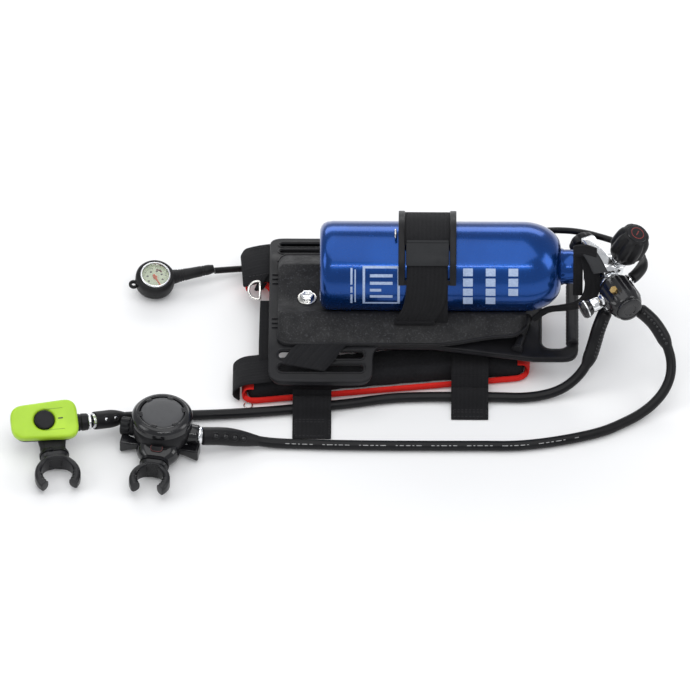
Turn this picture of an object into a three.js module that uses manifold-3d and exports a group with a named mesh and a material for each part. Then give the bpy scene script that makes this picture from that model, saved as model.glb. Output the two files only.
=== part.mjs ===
// Compact open-circuit diving set: cylinder, harness, regulator, octopus and pressure gauge.
// Millimetres, +Z up. The set lies on its harness with the cylinder along X, valve at +X.
import * as THREE from "three";
import { mergeVertices } from "three/addons/utils/BufferGeometryUtils.js";
import Module from "manifold-3d";

const wasm = await Module();
wasm.setup();

// ---------------------------------------------------------------- driving sizes
const GAP = 0.3;
const TANK_R = 55.5;
const TANK_BASE_X = -31;
const TANK_LENGTH = 323;
const TANK_Z = 122;
const NECK_R = 23;
const NECK_BORE = 13;
const LP_HOSE = 12.5;
const HP_HOSE = 8;
const PLATE_TOP = 62;
const PLATE_THICK = 4;

const NECK_END_X = TANK_BASE_X + TANK_LENGTH;

const v3 = (x, y, z) => new THREE.Vector3(x, y, z);
const v2 = (x, y) => new THREE.Vector2(x, y);
const deg = (angle) => (angle * Math.PI) / 180;

// ---------------------------------------------------------------- materials
const paint = (name, color, roughness, metalness) => {
  const material = new THREE.MeshStandardMaterial({ color, roughness, metalness });
  material.name = name;
  return material;
};
const BLUE = paint("tank_paint", 0x2a52ae, 0.3, 0.4);
const BLACK = paint("black_plastic", 0x1b1b1d, 0.45, 0);
const RUBBER = paint("black_rubber", 0x141416, 0.6, 0);
const CHROME = paint("chrome", 0xd8dadd, 0.12, 1);
const BRASS = paint("brass", 0xb08a45, 0.3, 1);
const LIME = paint("lime_plastic", 0xa6cf3a, 0.4, 0);
const WEBBING = paint("webbing", 0x18181b, 0.9, 0);
const PADDING = paint("pad_fabric", 0x1a1a1d, 0.95, 0);
const SADDLE = paint("saddle_plastic", 0x2a2a2d, 0.7, 0);
const STEEL = paint("spring_steel", 0xa9adb2, 0.3, 1);
const SILICONE = paint("silicone", 0x1d1d20, 0.5, 0);
const DIAL = paint("dial_face", 0xe4ecd0, 0.6, 0);
const GLASS = paint("clear_lens", 0xdfe8ee, 0.05, 0);
const NEEDLE = paint("needle_red", 0xb5301c, 0.5, 0);

// ---------------------------------------------------------------- solids
function signedVolume(positions, triangles) {
  const [a, b, c] = [v3(0, 0, 0), v3(0, 0, 0), v3(0, 0, 0)];
  let volume = 0;
  for (let i = 0; i < triangles.length; i += 3) {
    a.fromArray(positions, 3 * triangles[i]);
    b.fromArray(positions, 3 * triangles[i + 1]);
    c.fromArray(positions, 3 * triangles[i + 2]);
    volume += a.dot(b.cross(c));
  }
  return volume;
}

function solid(geometry) {
  const bare = geometry.clone();
  bare.deleteAttribute("normal");
  bare.deleteAttribute("uv");
  const merged = mergeVertices(bare, 1e-4);
  const positions = Float32Array.from(merged.attributes.position.array);
  const triangles = [];
  const index = merged.index.array;
  for (let i = 0; i < index.length; i += 3) {
    const [p, q, r] = [index[i], index[i + 1], index[i + 2]];
    if (p !== q && q !== r && p !== r) triangles.push(p, q, r);
  }
  if (signedVolume(positions, triangles) < 0) {
    for (let i = 0; i < triangles.length; i += 3) {
      [triangles[i + 1], triangles[i + 2]] = [triangles[i + 2], triangles[i + 1]];
    }
  }
  const triVerts = Uint32Array.from(triangles);
  return new wasm.Manifold(new wasm.Mesh({ numProp: 3, vertProperties: positions, triVerts }));
}

function toGeometry(manifold) {
  const data = manifold.getMesh();
  const geometry = new THREE.BufferGeometry();
  geometry.setAttribute("position", new THREE.BufferAttribute(data.vertProperties.slice(), 3));
  geometry.setIndex(new THREE.BufferAttribute(data.triVerts.slice(), 1));
  geometry.computeVertexNormals();
  return geometry;
}

// A piece from one base shape, with more shapes added and cut away.
function carve(base, added = [], cut = []) {
  let result = solid(base);
  for (const shape of added) result = result.add(solid(shape));
  for (const shape of cut) result = result.subtract(solid(shape));
  return result;
}

function piece(parent, name, shape, material) {
  const manifold = shape.isBufferGeometry ? solid(shape) : shape;
  const mesh = new THREE.Mesh(toGeometry(manifold), material);
  mesh.name = name;
  parent.add(mesh);
  return mesh;
}

// ---------------------------------------------------------------- shapes, all about +Z
// Profile points are [along the axis, radius].
function turned(profile, segments = 20) {
  const points = profile.map(([along, radius]) => v2(radius, along));
  return new THREE.LatheGeometry(points, segments).rotateX(Math.PI / 2);
}

function rod(radius, from, to, segments = 16) {
  return turned([[from, 0], [from, radius], [to, radius], [to, 0]], segments);
}

function ring(inner, outer, from, to, segments = 20) {
  return turned([[from, inner], [from, outer], [to, outer], [to, inner], [from, inner]], segments);
}

function block(sizeX, sizeY, sizeZ, x = 0, y = 0, z = 0) {
  return new THREE.BoxGeometry(sizeX, sizeY, sizeZ).translate(x, y, z);
}

function prism(shape, from, to, curveSegments = 2) {
  const options = { depth: to - from, bevelEnabled: false, curveSegments };
  return new THREE.ExtrudeGeometry(shape, options).translate(0, 0, from);
}

function roundedRect(width, height, radius, x = 0, y = 0) {
  const shape = new THREE.Shape();
  const [hw, hh] = [width / 2 - radius, height / 2 - radius];
  shape.absarc(x + hw, y + hh, radius, 0, deg(90));
  shape.absarc(x - hw, y + hh, radius, deg(90), deg(180));
  shape.absarc(x - hw, y - hh, radius, deg(180), deg(270));
  shape.absarc(x + hw, y - hh, radius, deg(270), deg(360));
  return shape;
}

function flutedShape(radius, depth, count, perFlute = 6) {
  const shape = new THREE.Shape();
  const steps = count * perFlute;
  const points = [];
  for (let i = 0; i < steps; i++) {
    const angle = (i / steps) * 2 * Math.PI;
    const r = radius - depth * Math.pow(0.5 - 0.5 * Math.cos(angle * count), 2);
    points.push(v2(r * Math.cos(angle), r * Math.sin(angle)));
  }
  shape.setFromPoints(points);
  return shape;
}

// A strip of even thickness along a line of [a, b] points in its own plane.
function strip(points, thickness) {
  const line = points.map(([a, b]) => v2(a, b));
  const [left, right] = [[], []];
  line.forEach((point, i) => {
    const before = line[Math.max(i - 1, 0)];
    const after = line[Math.min(i + 1, line.length - 1)];
    const along = after.clone().sub(before).normalize();
    const side = v2(-along.y, along.x).multiplyScalar(thickness / 2);
    left.push(point.clone().add(side));
    right.unshift(point.clone().sub(side));
  });
  return new THREE.Shape([...left, ...right]);
}

function arc(radius, fromDeg, toDeg, steps, cx = 0, cy = 0) {
  return Array.from({ length: steps + 1 }, (_, i) => {
    const angle = deg(fromDeg + ((toDeg - fromDeg) * i) / steps);
    return [cx + radius * Math.cos(angle), cy + radius * Math.sin(angle)];
  });
}

// Turns +Z to a direction, then moves the origin there.
function aimed(geometry, origin, direction) {
  const turn = new THREE.Quaternion().setFromUnitVectors(v3(0, 0, 1), direction.clone().normalize());
  return geometry.applyQuaternion(turn).translate(origin.x, origin.y, origin.z);
}

// Turns a shape drawn in [Y, Z] and grown along +Z into the world, grown along +X.
function acrossX(geometry) {
  const basis = new THREE.Matrix4().makeBasis(v3(0, 1, 0), v3(0, 0, 1), v3(1, 0, 0));
  return geometry.applyMatrix4(basis);
}

function tubeAlong(points, section, steps) {
  const path = new THREE.CatmullRomCurve3(points, false, "centripetal");
  return new THREE.ExtrudeGeometry(section, { steps, extrudePath: path, curveSegments: 3 });
}

function circle(radius, sides = 12) {
  const points = arc(radius, 0, 360 - 360 / sides, sides - 1).map(([x, y]) => v2(x, y));
  return new THREE.Shape(points);
}

function hollowCircle(outer, inner, sides = 12) {
  const shape = circle(outer, sides);
  shape.holes.push(new THREE.Path(circle(inner, sides).getPoints().reverse()));
  return shape;
}

function coil(radius, wire, from, to, turns, sides = 5) {
  const steps = Math.round(turns * 10);
  const points = Array.from({ length: steps + 1 }, (_, i) => {
    const angle = (i / steps) * turns * 2 * Math.PI;
    return v3(radius * Math.cos(angle), radius * Math.sin(angle), from + ((to - from) * i) / steps);
  });
  return tubeAlong(points, circle(wire, sides), steps);
}

const set = new THREE.Group();
set.name = "diving_set";
function subset(name, origin, rotation = [0, 0, 0]) {
  const group = new THREE.Group();
  group.name = name;
  group.position.copy(origin);
  group.rotation.set(...rotation.map(deg), "ZYX");
  set.add(group);
  return group;
}

// ---------------------------------------------------------------- cylinder and its valve
function buildCylinder() {
  const wall = 8;
  const dome = { start: 250, outer: 48, inner: 40 };
  const curve = (neck, side, depth) =>
    arc(1, 0, 90, 5).map(([c, s]) => [dome.start + depth * s, neck + (side - neck) * c]);
  const profile = [
    [0, 0],
    [0, 44],
    [2.5, 51],
    [9, 54.7],
    [16, TANK_R],
    ...curve(NECK_R, TANK_R, dome.outer),
    [TANK_LENGTH, NECK_R],
    [TANK_LENGTH, NECK_BORE],
    ...curve(NECK_BORE, TANK_R - wall, dome.inner).reverse(),
    [16, TANK_R - wall],
    [10, 38],
    [10, 0],
  ];
  const body = aimed(turned(profile, 36), v3(TANK_BASE_X, 0, TANK_Z), v3(1, 0, 0));
  piece(set, "cylinder", body, BLUE);
}

const POST = { radius: 17 };
const YOKE_AT = v3(NECK_END_X + 22, 0, TANK_Z);
const YOKE_AXIS = v3(Math.sin(deg(26)), -Math.cos(deg(26)), 0);
const STEM_AT = v3(NECK_END_X + 41, 0, TANK_Z);
const STEM_AXIS = v3(0.38, -0.15, 0.91).normalize();
const KNOB = { from: 28, to: 72, radius: 22.5 };
const onYoke = (distance) => YOKE_AT.clone().addScaledVector(YOKE_AXIS, distance);

function buildValve() {
  const along = v3(1, 0, 0);
  const spigot = aimed(rod(NECK_BORE - 0.4, 0, 40), v3(NECK_END_X - 26, 0, TANK_Z), along);
  const flange = aimed(rod(17.4, 3, 8), v3(NECK_END_X, 0, TANK_Z), along);
  const profile = [[0, 0], [0, POST.radius], [45, POST.radius], [49, 13], [49, 0]];
  const post = aimed(turned(profile), v3(NECK_END_X + 3, 0, TANK_Z), along);
  const outlet = aimed(rod(11, 0, 25), YOKE_AT, YOKE_AXIS);
  const dimple = aimed(rod(8, 0, 21), YOKE_AT, YOKE_AXIS.clone().negate());
  const boss = aimed(rod(11, 0, 21), STEM_AT, STEM_AXIS);
  const feed = aimed(rod(4, -1, 64, 12), v3(NECK_END_X - 26, 0, TANK_Z), along);
  const gas = aimed(rod(3.5, 0, 26, 12), YOKE_AT, YOKE_AXIS);
  const stemBore = aimed(rod(4.3, -2, 22, 12), STEM_AT, STEM_AXIS);
  const body = carve(post, [spigot, flange, outlet, dimple, boss], [feed, gas, stemBore]);
  piece(set, "valve_body", body, CHROME);

  const dip = ring(2.3, 3.6, 0, 38, 12);
  piece(set, "dip_tube", aimed(dip, v3(NECK_END_X - 56, 0, TANK_Z), along), BRASS);

  const stem = aimed(rod(4, 3, 34, 12), STEM_AT, STEM_AXIS);
  piece(set, "valve_stem", stem, BRASS);

  const nut = carve(rod(13, 21.3, 27, 6), [], [rod(4.3, 20, 28, 12)]);
  const bonnet = toGeometry(nut);
  piece(set, "valve_bonnet", aimed(bonnet, STEM_AT, STEM_AXIS), CHROME);

  const flutes = solid(prism(flutedShape(KNOB.radius, 3.6, 8, 4), KNOB.from, KNOB.to));
  const outline = [
    [KNOB.from, 0],
    [KNOB.from, 17.5],
    [KNOB.from + 10, KNOB.radius],
    [KNOB.to - 12, 21.5],
    [KNOB.to - 4, 18.5],
    [KNOB.to, 14],
    [KNOB.to, 0],
  ];
  const socket = solid(rod(4.3, KNOB.from - 1, 34.3, 12));
  const knob = flutes.intersect(solid(turned(outline, 24))).subtract(socket);
  piece(set, "valve_knob", aimed(toGeometry(knob), STEM_AT, STEM_AXIS), RUBBER);

}

// ---------------------------------------------------------------- first stage and yoke
const BARREL = { from: 36, to: 84, radius: 22 };
const PORTS = {
  primary: { at: onYoke(57), axis: v3(0.78, -0.2, -0.59).normalize(), reach: 29 },
  octopus: { at: onYoke(46), axis: v3(-0.38, -0.37, -0.85).normalize(), reach: 28 },
  gauge: { at: onYoke(46), axis: v3(0.72, 0.66, 0.08).normalize(), reach: 25 },
  relief: { at: onYoke(52), axis: v3(-0.88, -0.43, -0.22).normalize(), reach: 24 },
};

function yokeGroup() {
  const group = subset("first_stage", YOKE_AT);
  const up = v3(0, 0, 1);
  const side = new THREE.Vector3().crossVectors(YOKE_AXIS, up);
  group.quaternion.setFromRotationMatrix(new THREE.Matrix4().makeBasis(up, side, YOKE_AXIS));
  return group;
}

function buildFirstStage() {
  const group = yokeGroup();
  const frame = roundedRect(52, 70, 9, 0, -3);
  frame.holes.push(new THREE.Path(roundedRect(40, 56, 5, 0, -3).getPoints(4).reverse()));
  const loop = prism(frame, -8, 8).rotateX(Math.PI / 2);
  const holes = [rod(5.3, -42, -25, 16), rod(12.3, 20, 40, 24)];
  piece(group, "yoke", carve(loop, [], holes), CHROME);

  const flutes = solid(prism(flutedShape(17, 2, 8, 4), -53, -40));
  const outline = [[-53, 0], [-53, 13], [-50, 17], [-43, 17], [-40, 15], [-40, 0]];
  const knob = flutes.intersect(solid(turned(outline, 24))).add(solid(rod(5, -41, -21.3, 14)));
  piece(group, "yoke_knob", knob, BLACK);

  const { from, to, radius } = BARREL;
  const shell = [[from, 0], [from, 16], [from + 8, radius], [to - 10, radius], [to, 17], [to, 0]];
  const barrel = solid(turned(shell, 30)).intersect(
    solid(prism(flutedShape(radius, 1.8, 10, 4), from - 1, to + 1)),
  );
  const toLocal = (port) => {
    const inverse = group.quaternion.clone().invert();
    const at = port.at.clone().sub(YOKE_AT).applyQuaternion(inverse);
    return { at, axis: port.axis.clone().applyQuaternion(inverse), reach: port.reach };
  };
  let body = barrel.add(solid(rod(12, 25.3, 40))).add(solid(rod(15.5, 32.6, 38)));
  for (const port of Object.values(PORTS).map(toLocal)) {
    body = body.add(solid(aimed(rod(8.5, 0, port.reach, 14), port.at, port.axis)));
  }
  body = body.subtract(solid(rod(3.5, 24, 60, 12)));
  body = body.subtract(solid(rod(13.5, 56, 90, 24)));
  piece(group, "first_stage_body", body, BLACK);

  const cap = carve(rod(16.5, 84.3, 88, 32), [rod(13.1, 80, 85, 24)], [rod(6, 78, 82, 12)]);
  piece(group, "first_stage_cap", cap, BLACK);
  piece(group, "first_stage_piston", carve(rod(13.1, 75, 79.6, 24), [rod(4, 59, 76, 12)]), BRASS);
  piece(group, "piston_spring", coil(9.5, 1.3, 58.5, 73, 4), STEEL);

  const plugAxis = v3(0.866, 0.5, 0);
  const hexPlug = aimed(rod(5, radius + 0.1, radius + 4, 6), v3(0, 0, 66), plugAxis);
  piece(group, "port_plug", hexPlug, BRASS);
  const relief = toLocal(PORTS.relief);
  const dome = [
    [relief.reach + GAP, 0],
    [relief.reach + GAP, 7.5],
    [relief.reach + 6, 9],
    [relief.reach + 13, 9],
    [relief.reach + 20, 11.5],
    [relief.reach + 24, 11.5],
    [relief.reach + 27, 8],
    [relief.reach + 27, 0],
  ];
  piece(group, "relief_valve", aimed(turned(dome), relief.at, relief.axis), CHROME);
}

// ---------------------------------------------------------------- hoses
const portEnd = ({ at, axis, reach }, extra) => at.clone().addScaledVector(axis, reach + extra);

// A hose leaves its port straight, for lead, and then passes through the points.
function route(port, lead, points) {
  const start = [portEnd(port, 0.4), portEnd(port, lead)];
  const line = [...start, ...points.map((point) => v3(...point))];
  return new THREE.CatmullRomCurve3(line, false, "centripetal");
}

const ROUTES = {
  primary: route(PORTS.primary, 10, [
    [381, -63, 88],
    [391, -70, 75],
    [399, -79, 61],
    [403.5, -90, 47],
    [402.5, -103, 33.5],
    [395, -117, 22],
    [382, -131, 13.5],
    [365, -145, 8.6],
    [343, -160, 6.8],
    [317, -175, 6.6],
    [267, -191, 6.6],
    [217, -200, 6.6],
    [167, -201, 6.6],
    [6, -201, 6.6],
    [-87, -198, 7],
    [-109, -197, 9.8],
    [-131, -198, 15],
    [-150, -201, 20.5],
    [-169, -204.6, 24],
  ]),
  octopus: route(PORTS.octopus, 12, [
    [314, -63.5, 77],
    [309.5, -70.5, 62],
    [304, -79, 46],
    [296, -88, 32],
    [284, -96.5, 20.5],
    [268, -104, 12.2],
    [248, -109.5, 7.8],
    [222, -113.5, 6.6],
    [180, -113, 6.6],
    [68, -115, 6.6],
    [0, -127, 6.6],
    [-105, -142, 6.6],
    [-187, -148.5, 6.7],
    [-215, -149, 7],
    [-236, -151.2, 8.4],
    [-256, -156.5, 12],
    [-274, -164.5, 17.6],
    [-290, -174.5, 24],
    [-306.5, -182.4, 28.6],
  ]),
  gauge: route(PORTS.gauge, 6, [
    [361.2, -15.2, 125.2],
    [367, -4.6, 126],
    [369, 7.6, 126.3],
    [366.4, 19.8, 126],
    [359.2, 30.4, 125.2],
    [348, 39, 124],
    [334, 46.5, 122.5],
    [317, 55.5, 121],
    [299, 65, 118.5],
    [276, 75, 113.5],
    [249, 86, 103],
    [221, 98, 83],
    [191, 110, 56],
    [160, 120, 29.5],
    [125, 126, 12.5],
    [85, 127.5, 5],
    [0, 127, 4.5],
    [-80, 123, 4.8],
    [-130, 116, 8.5],
    [-163, 106.5, 14],
  ]),
};

function hoseTube(curve, radius, steps, sides = 8) {
  return new THREE.ExtrudeGeometry(circle(radius, sides), { steps, extrudePath: curve });
}

function sleeve(curve, from, to, outer, inner) {
  const length = curve.getLength();
  const count = 7;
  const points = Array.from({ length: count }, (_, i) =>
    curve.getPointAt((from + ((to - from) * i) / (count - 1)) / length),
  );
  return tubeAlong(points, hollowCircle(outer, inner, 10), 6);
}

function buildHoses() {
  const group = new THREE.Group();
  group.name = "hoses";
  set.add(group);
  const lpRadius = LP_HOSE / 2;
  const lpBore = 7.2;
  const { primary, octopus, gauge } = ROUTES;
  piece(group, "hose_primary", hoseTube(primary, lpRadius, 48), RUBBER);
  piece(group, "hose_octopus", hoseTube(octopus, lpRadius, 44), RUBBER);
  piece(group, "hose_gauge", hoseTube(gauge, HP_HOSE / 2, 38), RUBBER);
  const [primaryLength, octopusLength] = [primary.getLength(), octopus.getLength()];
  piece(group, "hose_sleeve_primary", sleeve(primary, 1, 62, 8.8, lpBore), RUBBER);
  piece(group, "hose_sleeve_octopus", sleeve(octopus, 1, 76, 8.8, lpBore), RUBBER);
  const primaryBoot = sleeve(primary, primaryLength - 66, primaryLength - 1, 9, lpBore);
  piece(group, "hose_boot_primary", primaryBoot, RUBBER);
  const octopusBoot = sleeve(octopus, octopusLength - 33, octopusLength - 1, 9, lpBore);
  piece(group, "hose_boot_octopus", octopusBoot, RUBBER);
  const collar = (curve) => {
    const at = curve.getPointAt(1);
    return aimed(ring(7, 8.6, 0.2, 5.8), at, curve.getTangentAt(1));
  };
  piece(group, "swivel_primary", collar(primary), CHROME);
  piece(group, "swivel_octopus", collar(octopus), CHROME);
}

// ---------------------------------------------------------------- second stages
// Local frames: +Z out of the purge cover, +X towards the hose, -Y to the mouthpiece.
const alongX = (geometry) => geometry.rotateY(Math.PI / 2);
const towardsMouth = (geometry) => geometry.rotateX(Math.PI / 2);

// Drawn along +Z from the port: sleeve, lip flange and two bite tabs.
function mouthpiece(width, length) {
  const throat = prism(roundedRect(34, 21, 10), 0, length * 0.55);
  const lips = prism(roundedRect(width, 25, 12), length * 0.5, length * 0.5 + 4);
  const tab = (x) => block(5, 12, length * 0.5 - 4, x, 0, length * 0.75 + 1);
  const grip = (x) => block(9, 18, 4, x, 0, length - 2);
  const bore = prism(roundedRect(25, 12, 5.9), -1, length * 0.5 + 6);
  const side = width / 2 - 6;
  return carve(throat, [lips, tab(side), tab(-side), grip(side), grip(-side)], [bore]);
}

function lever(length, rise, width) {
  const arm = strip([[0, 0], [length * 0.35, rise * 0.2], [length, rise]], 1.4);
  return prism(arm, -width / 2, width / 2).rotateX(Math.PI / 2);
}

const PRIMARY_AT = v3(-224, -195, 24);
function buildPrimary() {
  const group = subset("primary_second_stage", PRIMARY_AT, [0, 0, -10]);
  const outer = [[-20, 0], [-20, 20], [-8, 33], [4, 37], [18, 37], [18, 0]];
  const inner = [[-17, 0], [-17, 17], [-6, 30], [4, 33.4], [19, 33.4], [19, 0]];
  const portShape = roundedRect(32, 18, 8.9);
  const port = towardsMouth(prism(portShape, 20, 47.5)).translate(0, 0, -8);
  const bore = towardsMouth(prism(roundedRect(25, 12, 5.9), 10, 49)).translate(0, 0, -8);
  const inlet = alongX(rod(11, 25, 46));
  const cap = alongX(rod(11, -40, -25));
  const tubeBore = alongX(rod(8.1, -60, 60, 20));
  const body = carve(turned(outer, 32), [port, inlet, cap], [turned(inner, 32), bore, tubeBore]);
  piece(group, "primary_body", body, BLACK);

  const coverRing = [
    [18.3, 34],
    [18.3, 37.7],
    [26, 37.7],
    [31, 33],
    [31.5, 28],
    [26, 28],
    [26, 31],
    [18.3, 34],
  ];
  piece(group, "primary_cover", turned(coverRing, 32), BLACK);
  const button = [[21, 0], [21, 30], [23, 30], [24, 27.4], [31, 26.8], [33.5, 20], [34, 0]];
  piece(group, "primary_purge", turned(button, 28), BLACK);
  piece(group, "primary_purge_spring", coil(10, 0.6, 17.1, 20.2, 1.5), STEEL);
  piece(group, "primary_diaphragm", turned([[14, 0], [14, 32], [16, 32.8], [16, 0]], 32), SILICONE);
  piece(group, "primary_valve_tube", alongX(ring(4, 7.8, -30, 47, 20)), CHROME);
  piece(group, "primary_lever", lever(24, 3.6, 7).translate(-12, 0, 9.2), STEEL);

  const grip = solid(prism(flutedShape(11.5, 1.2, 10, 4), 40.4, 52));
  const knob = grip.add(solid(rod(3.7, 15, 41, 12)));
  piece(group, "primary_adjust_knob", toGeometry(knob).rotateY(-Math.PI / 2), BLACK);

  const ductAt = [-23, -14.5];
  const duct = alongX(prism(roundedRect(12, 17, 5.5), -46, 46)).translate(0, ...ductAt);
  const mouths = [-1, 1].map((s) => block(22, 12, 8, s * 38, ...ductAt));
  const clear = turned([[-20.4, 0], [-20.4, 20.4], [-8, 33.5], [4, 37.5], [4, 0]], 28);
  const portClear = towardsMouth(prism(roundedRect(33, 19, 9.4), 20, 60)).translate(0, 0, -8);
  piece(group, "primary_exhaust_tee", carve(duct, [], [clear, portClear, ...mouths]), RUBBER);

  const bite = toGeometry(mouthpiece(50, 44)).rotateX(Math.PI / 2).translate(0, -47.9, -8);
  piece(group, "primary_mouthpiece", bite, SILICONE);
}

const OCTOPUS_AT = v3(-370, -195, 35);
function buildOctopus() {
  const group = subset("octopus_second_stage", OCTOPUS_AT, [25, 0, 8]);
  const back = prism(roundedRect(80, 49, 12), -15, -1);
  const hollow = prism(roundedRect(73, 42, 9), -12, 0);
  const port = towardsMouth(prism(roundedRect(32, 13, 6.4), 18, 34)).translate(8, 0, -8);
  const bore = towardsMouth(prism(roundedRect(25, 7, 3.4), 15, 36)).translate(8, 0, -8);
  const inlet = alongX(rod(10.5, 34, 55)).translate(0, 0, -7);
  const tubeBore = alongX(rod(5.1, 20, 60, 16)).translate(0, 0, -7);
  piece(group, "octopus_body", carve(back, [port, inlet], [hollow, bore, tubeBore]), BLACK);

  const shell = prism(roundedRect(83, 52, 13), 0, 10, 3);
  const crown = prism(roundedRect(76, 45, 10), 10, 13.5, 3);
  const inside = prism(roundedRect(75, 44, 10), -1, 9);
  const opening = rod(12.6, 5, 20, 24);
  const notch = alongX(rod(11, 34, 60, 20)).translate(0, 0, -7);
  piece(group, "octopus_cover", carve(shell, [crown], [inside, opening, notch]), LIME);
  const button = [[5.5, 0], [5.5, 15], [8, 15], [8.3, 12.2], [14, 12], [15.5, 9], [15.5, 0]];
  piece(group, "octopus_purge", turned(button, 28), BLACK);
  piece(group, "octopus_diaphragm", turned([[0.2, 0], [0.2, 20], [1.5, 20.6], [1.5, 0]], 28), SILICONE);
  piece(group, "octopus_valve_tube", alongX(ring(3, 4.4, -22, 54.5, 12)).translate(0, 0, -7), CHROME);
  piece(group, "octopus_lever", lever(24, 1.2, 6).translate(-24, 0, -1.7), STEEL);

  const mouth = subset("octopus_mouth", v3(-357.5, -226.5, 15.5), [3, 0, 8]);
  const bite = toGeometry(mouthpiece(56, 52)).rotateX(Math.PI / 2);
  piece(mouth, "octopus_mouthpiece", bite, SILICONE);
}

// ---------------------------------------------------------------- pressure gauge
const GAUGE_AT = v3(-237, 84, 19.8);
function buildGauge() {
  const group = subset("pressure_gauge", GAUGE_AT, [14, 0, 17]);
  const cup = turned([[-13, 0], [-13, 20], [-9, 24.5], [6, 24.5], [10, 21.5], [10, 0]], 28);
  const handle = alongX(turned([[18, 0], [18, 9], [45, 7], [76, 6.4], [76, 0]], 16)).translate(0, 0, -3);
  const eye = ring(2.5, 6, -4, 0, 16).translate(-27.5, 0, 0);
  const well = rod(19.6, -9, 12, 24);
  piece(group, "gauge_case", carve(cup, [handle, eye], [well]), RUBBER);
  piece(group, "gauge_movement", rod(16, -8.6, 1.5, 24), BRASS);
  piece(group, "gauge_dial", rod(19, 1.9, 3, 24), DIAL);
  const pointer = new THREE.Shape([v2(-1.6, -4), v2(1.6, -4), v2(0.5, 14), v2(-0.5, 14)]);
  const needle = carve(prism(pointer, 3.6, 4.6), [rod(2.6, 3.4, 5.2, 14)]);
  piece(group, "gauge_needle", toGeometry(needle).rotateZ(deg(-167)), NEEDLE);
  piece(group, "gauge_bezel", ring(16.6, 19.2, 7, 11.5, 24), CHROME);
  piece(group, "gauge_lens", rod(16.2, 8, 9.6, 24), GLASS);
}

// ---------------------------------------------------------------- backplate, saddle and band
const PLATE = {
  left: -94,
  lobeEnd: 35,
  right: 289,
  lobe: 131,
  waist: 80,
  dropStart: 109,
  dropEnd: 234,
};
const DECK_LOW = 42;
const BAND = { from: 76, to: 127.5 };
const BOLT_X = -47;

function buildPlate() {
  const mid = PLATE_TOP - PLATE_THICK / 2;
  const section = [[-129, 40], [-129, 46], [-84, mid], [84, mid], [129, 46], [129, 40]];
  const lobes = acrossX(prism(strip(section, PLATE_THICK), PLATE.left, PLATE.lobeEnd));
  const lowered = section.map(([y, z]) => [y, z - 4]);
  const edge = (x) => acrossX(prism(strip(lowered.slice(1, -1), 10), x, x + 3));
  const low = DECK_LOW - PLATE_THICK / 2;
  const spine = [[30, mid], [PLATE.dropStart, mid], [PLATE.dropEnd, low], [PLATE.right, low]];
  const upright = (shape, y0, y1) => prism(shape, -y1, -y0).rotateX(Math.PI / 2);
  const deck = upright(strip(spine, PLATE_THICK), -PLATE.waist, PLATE.waist);
  const rimLine = spine.map(([x, z]) => [x, z - 3]);
  const rims = [-1, 1].map((s) => {
    const [a, b] = [s * PLATE.waist, s * (PLATE.waist - 3)].sort((p, q) => p - q);
    return upright(strip(rimLine, 10), a, b);
  });
  let plate = solid(lobes).add(solid(edge(PLATE.left))).add(solid(edge(PLATE.lobeEnd - 3)));
  plate = plate.add(solid(deck));
  for (const rim of rims) plate = plate.add(solid(rim));

  const length = PLATE.right - PLATE.left;
  const middle = (PLATE.right + PLATE.left) / 2;
  const outline = prism(roundedRect(length, 2 * PLATE.lobe, 16, middle, 0), 0, 90);
  const corners = prism(roundedRect(300, 2 * PLATE.waist, 26, PLATE.right - 150, 0), 0, 90);
  const lobeHalf = block(129, 300, 100, (PLATE.left + PLATE.lobeEnd) / 2, 0, 50);
  plate = plate.intersect(solid(corners).add(solid(lobeHalf))).intersect(solid(outline));

  const handleHole = prism(roundedRect(33, 124, 12, 260.5, 0), 20, 80);
  const boltHole = rod(4.5, 30, 80, 14).translate(BOLT_X, 0, 0);
  const cuts = [handleHole, boltHole];
  for (const y of [93.5, 111.5]) {
    for (const s of [-1, 1]) cuts.push(prism(roundedRect(105, 10, 4.9, -29, s * y), 20, 80));
  }
  for (const cut of cuts) plate = plate.subtract(solid(cut));
  piece(set, "backplate", plate, BLACK);
}

function buildSaddle() {
  const seat = arc(TANK_R + 0.4, -139, -41, 12, 0, TANK_Z);
  const base = PLATE_TOP + GAP;
  const slope = [[82.7, base], [82.7, base + 3], [43, 84.5]];
  const mirrored = slope.map(([y, z]) => [-y, z]);
  const section = [...mirrored, ...seat, ...slope.reverse()].map(([y, z]) => v2(y, z));
  const wedge = acrossX(prism(new THREE.Shape(section), -83, 225));
  const half = [[-83, 66], [-70, 82.7], [109, 82.7], [136, 70], [205, 66], [225, 48]];
  const otherHalf = half.map(([x, y]) => [x, -y]).reverse();
  const plan = new THREE.Shape([...half, ...otherHalf].map(([x, y]) => v2(x, y)));
  let saddle = solid(wedge).intersect(solid(prism(plan, 50, 100)));
  const pockets = [-1, 1].flatMap((s) => [
    block(120, 12, 12, -2, s * 42, base + 5),
    block(56, 12, 12, 170, s * 42, base + 5),
    block(56, 7, 40, (BAND.from + BAND.to) / 2, s * 54, 80),
  ]);
  for (const cut of pockets) saddle = saddle.subtract(solid(cut));
  saddle = saddle.subtract(solid(rod(4.5, 50, 90, 14).translate(BOLT_X, 0, 0)));
  saddle = saddle.subtract(solid(rod(12, base + 3.9, 90, 24).translate(BOLT_X, 0, 0)));
  saddle = saddle.subtract(solid(block(200, 200, 200, 325, 0, 0)));
  piece(set, "saddle", saddle, SADDLE);
  const bolt = carve(rod(9.5, base + 4.2, base + 11, 6), [rod(4.1, 50, base + 5, 14)]);
  piece(set, "saddle_bolt", toGeometry(bolt).translate(BOLT_X, 0, 0), CHROME);
}

function onBand(radius, angle) {
  return [-radius * Math.cos(deg(angle)), TANK_Z + radius * Math.sin(deg(angle))];
}

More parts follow.
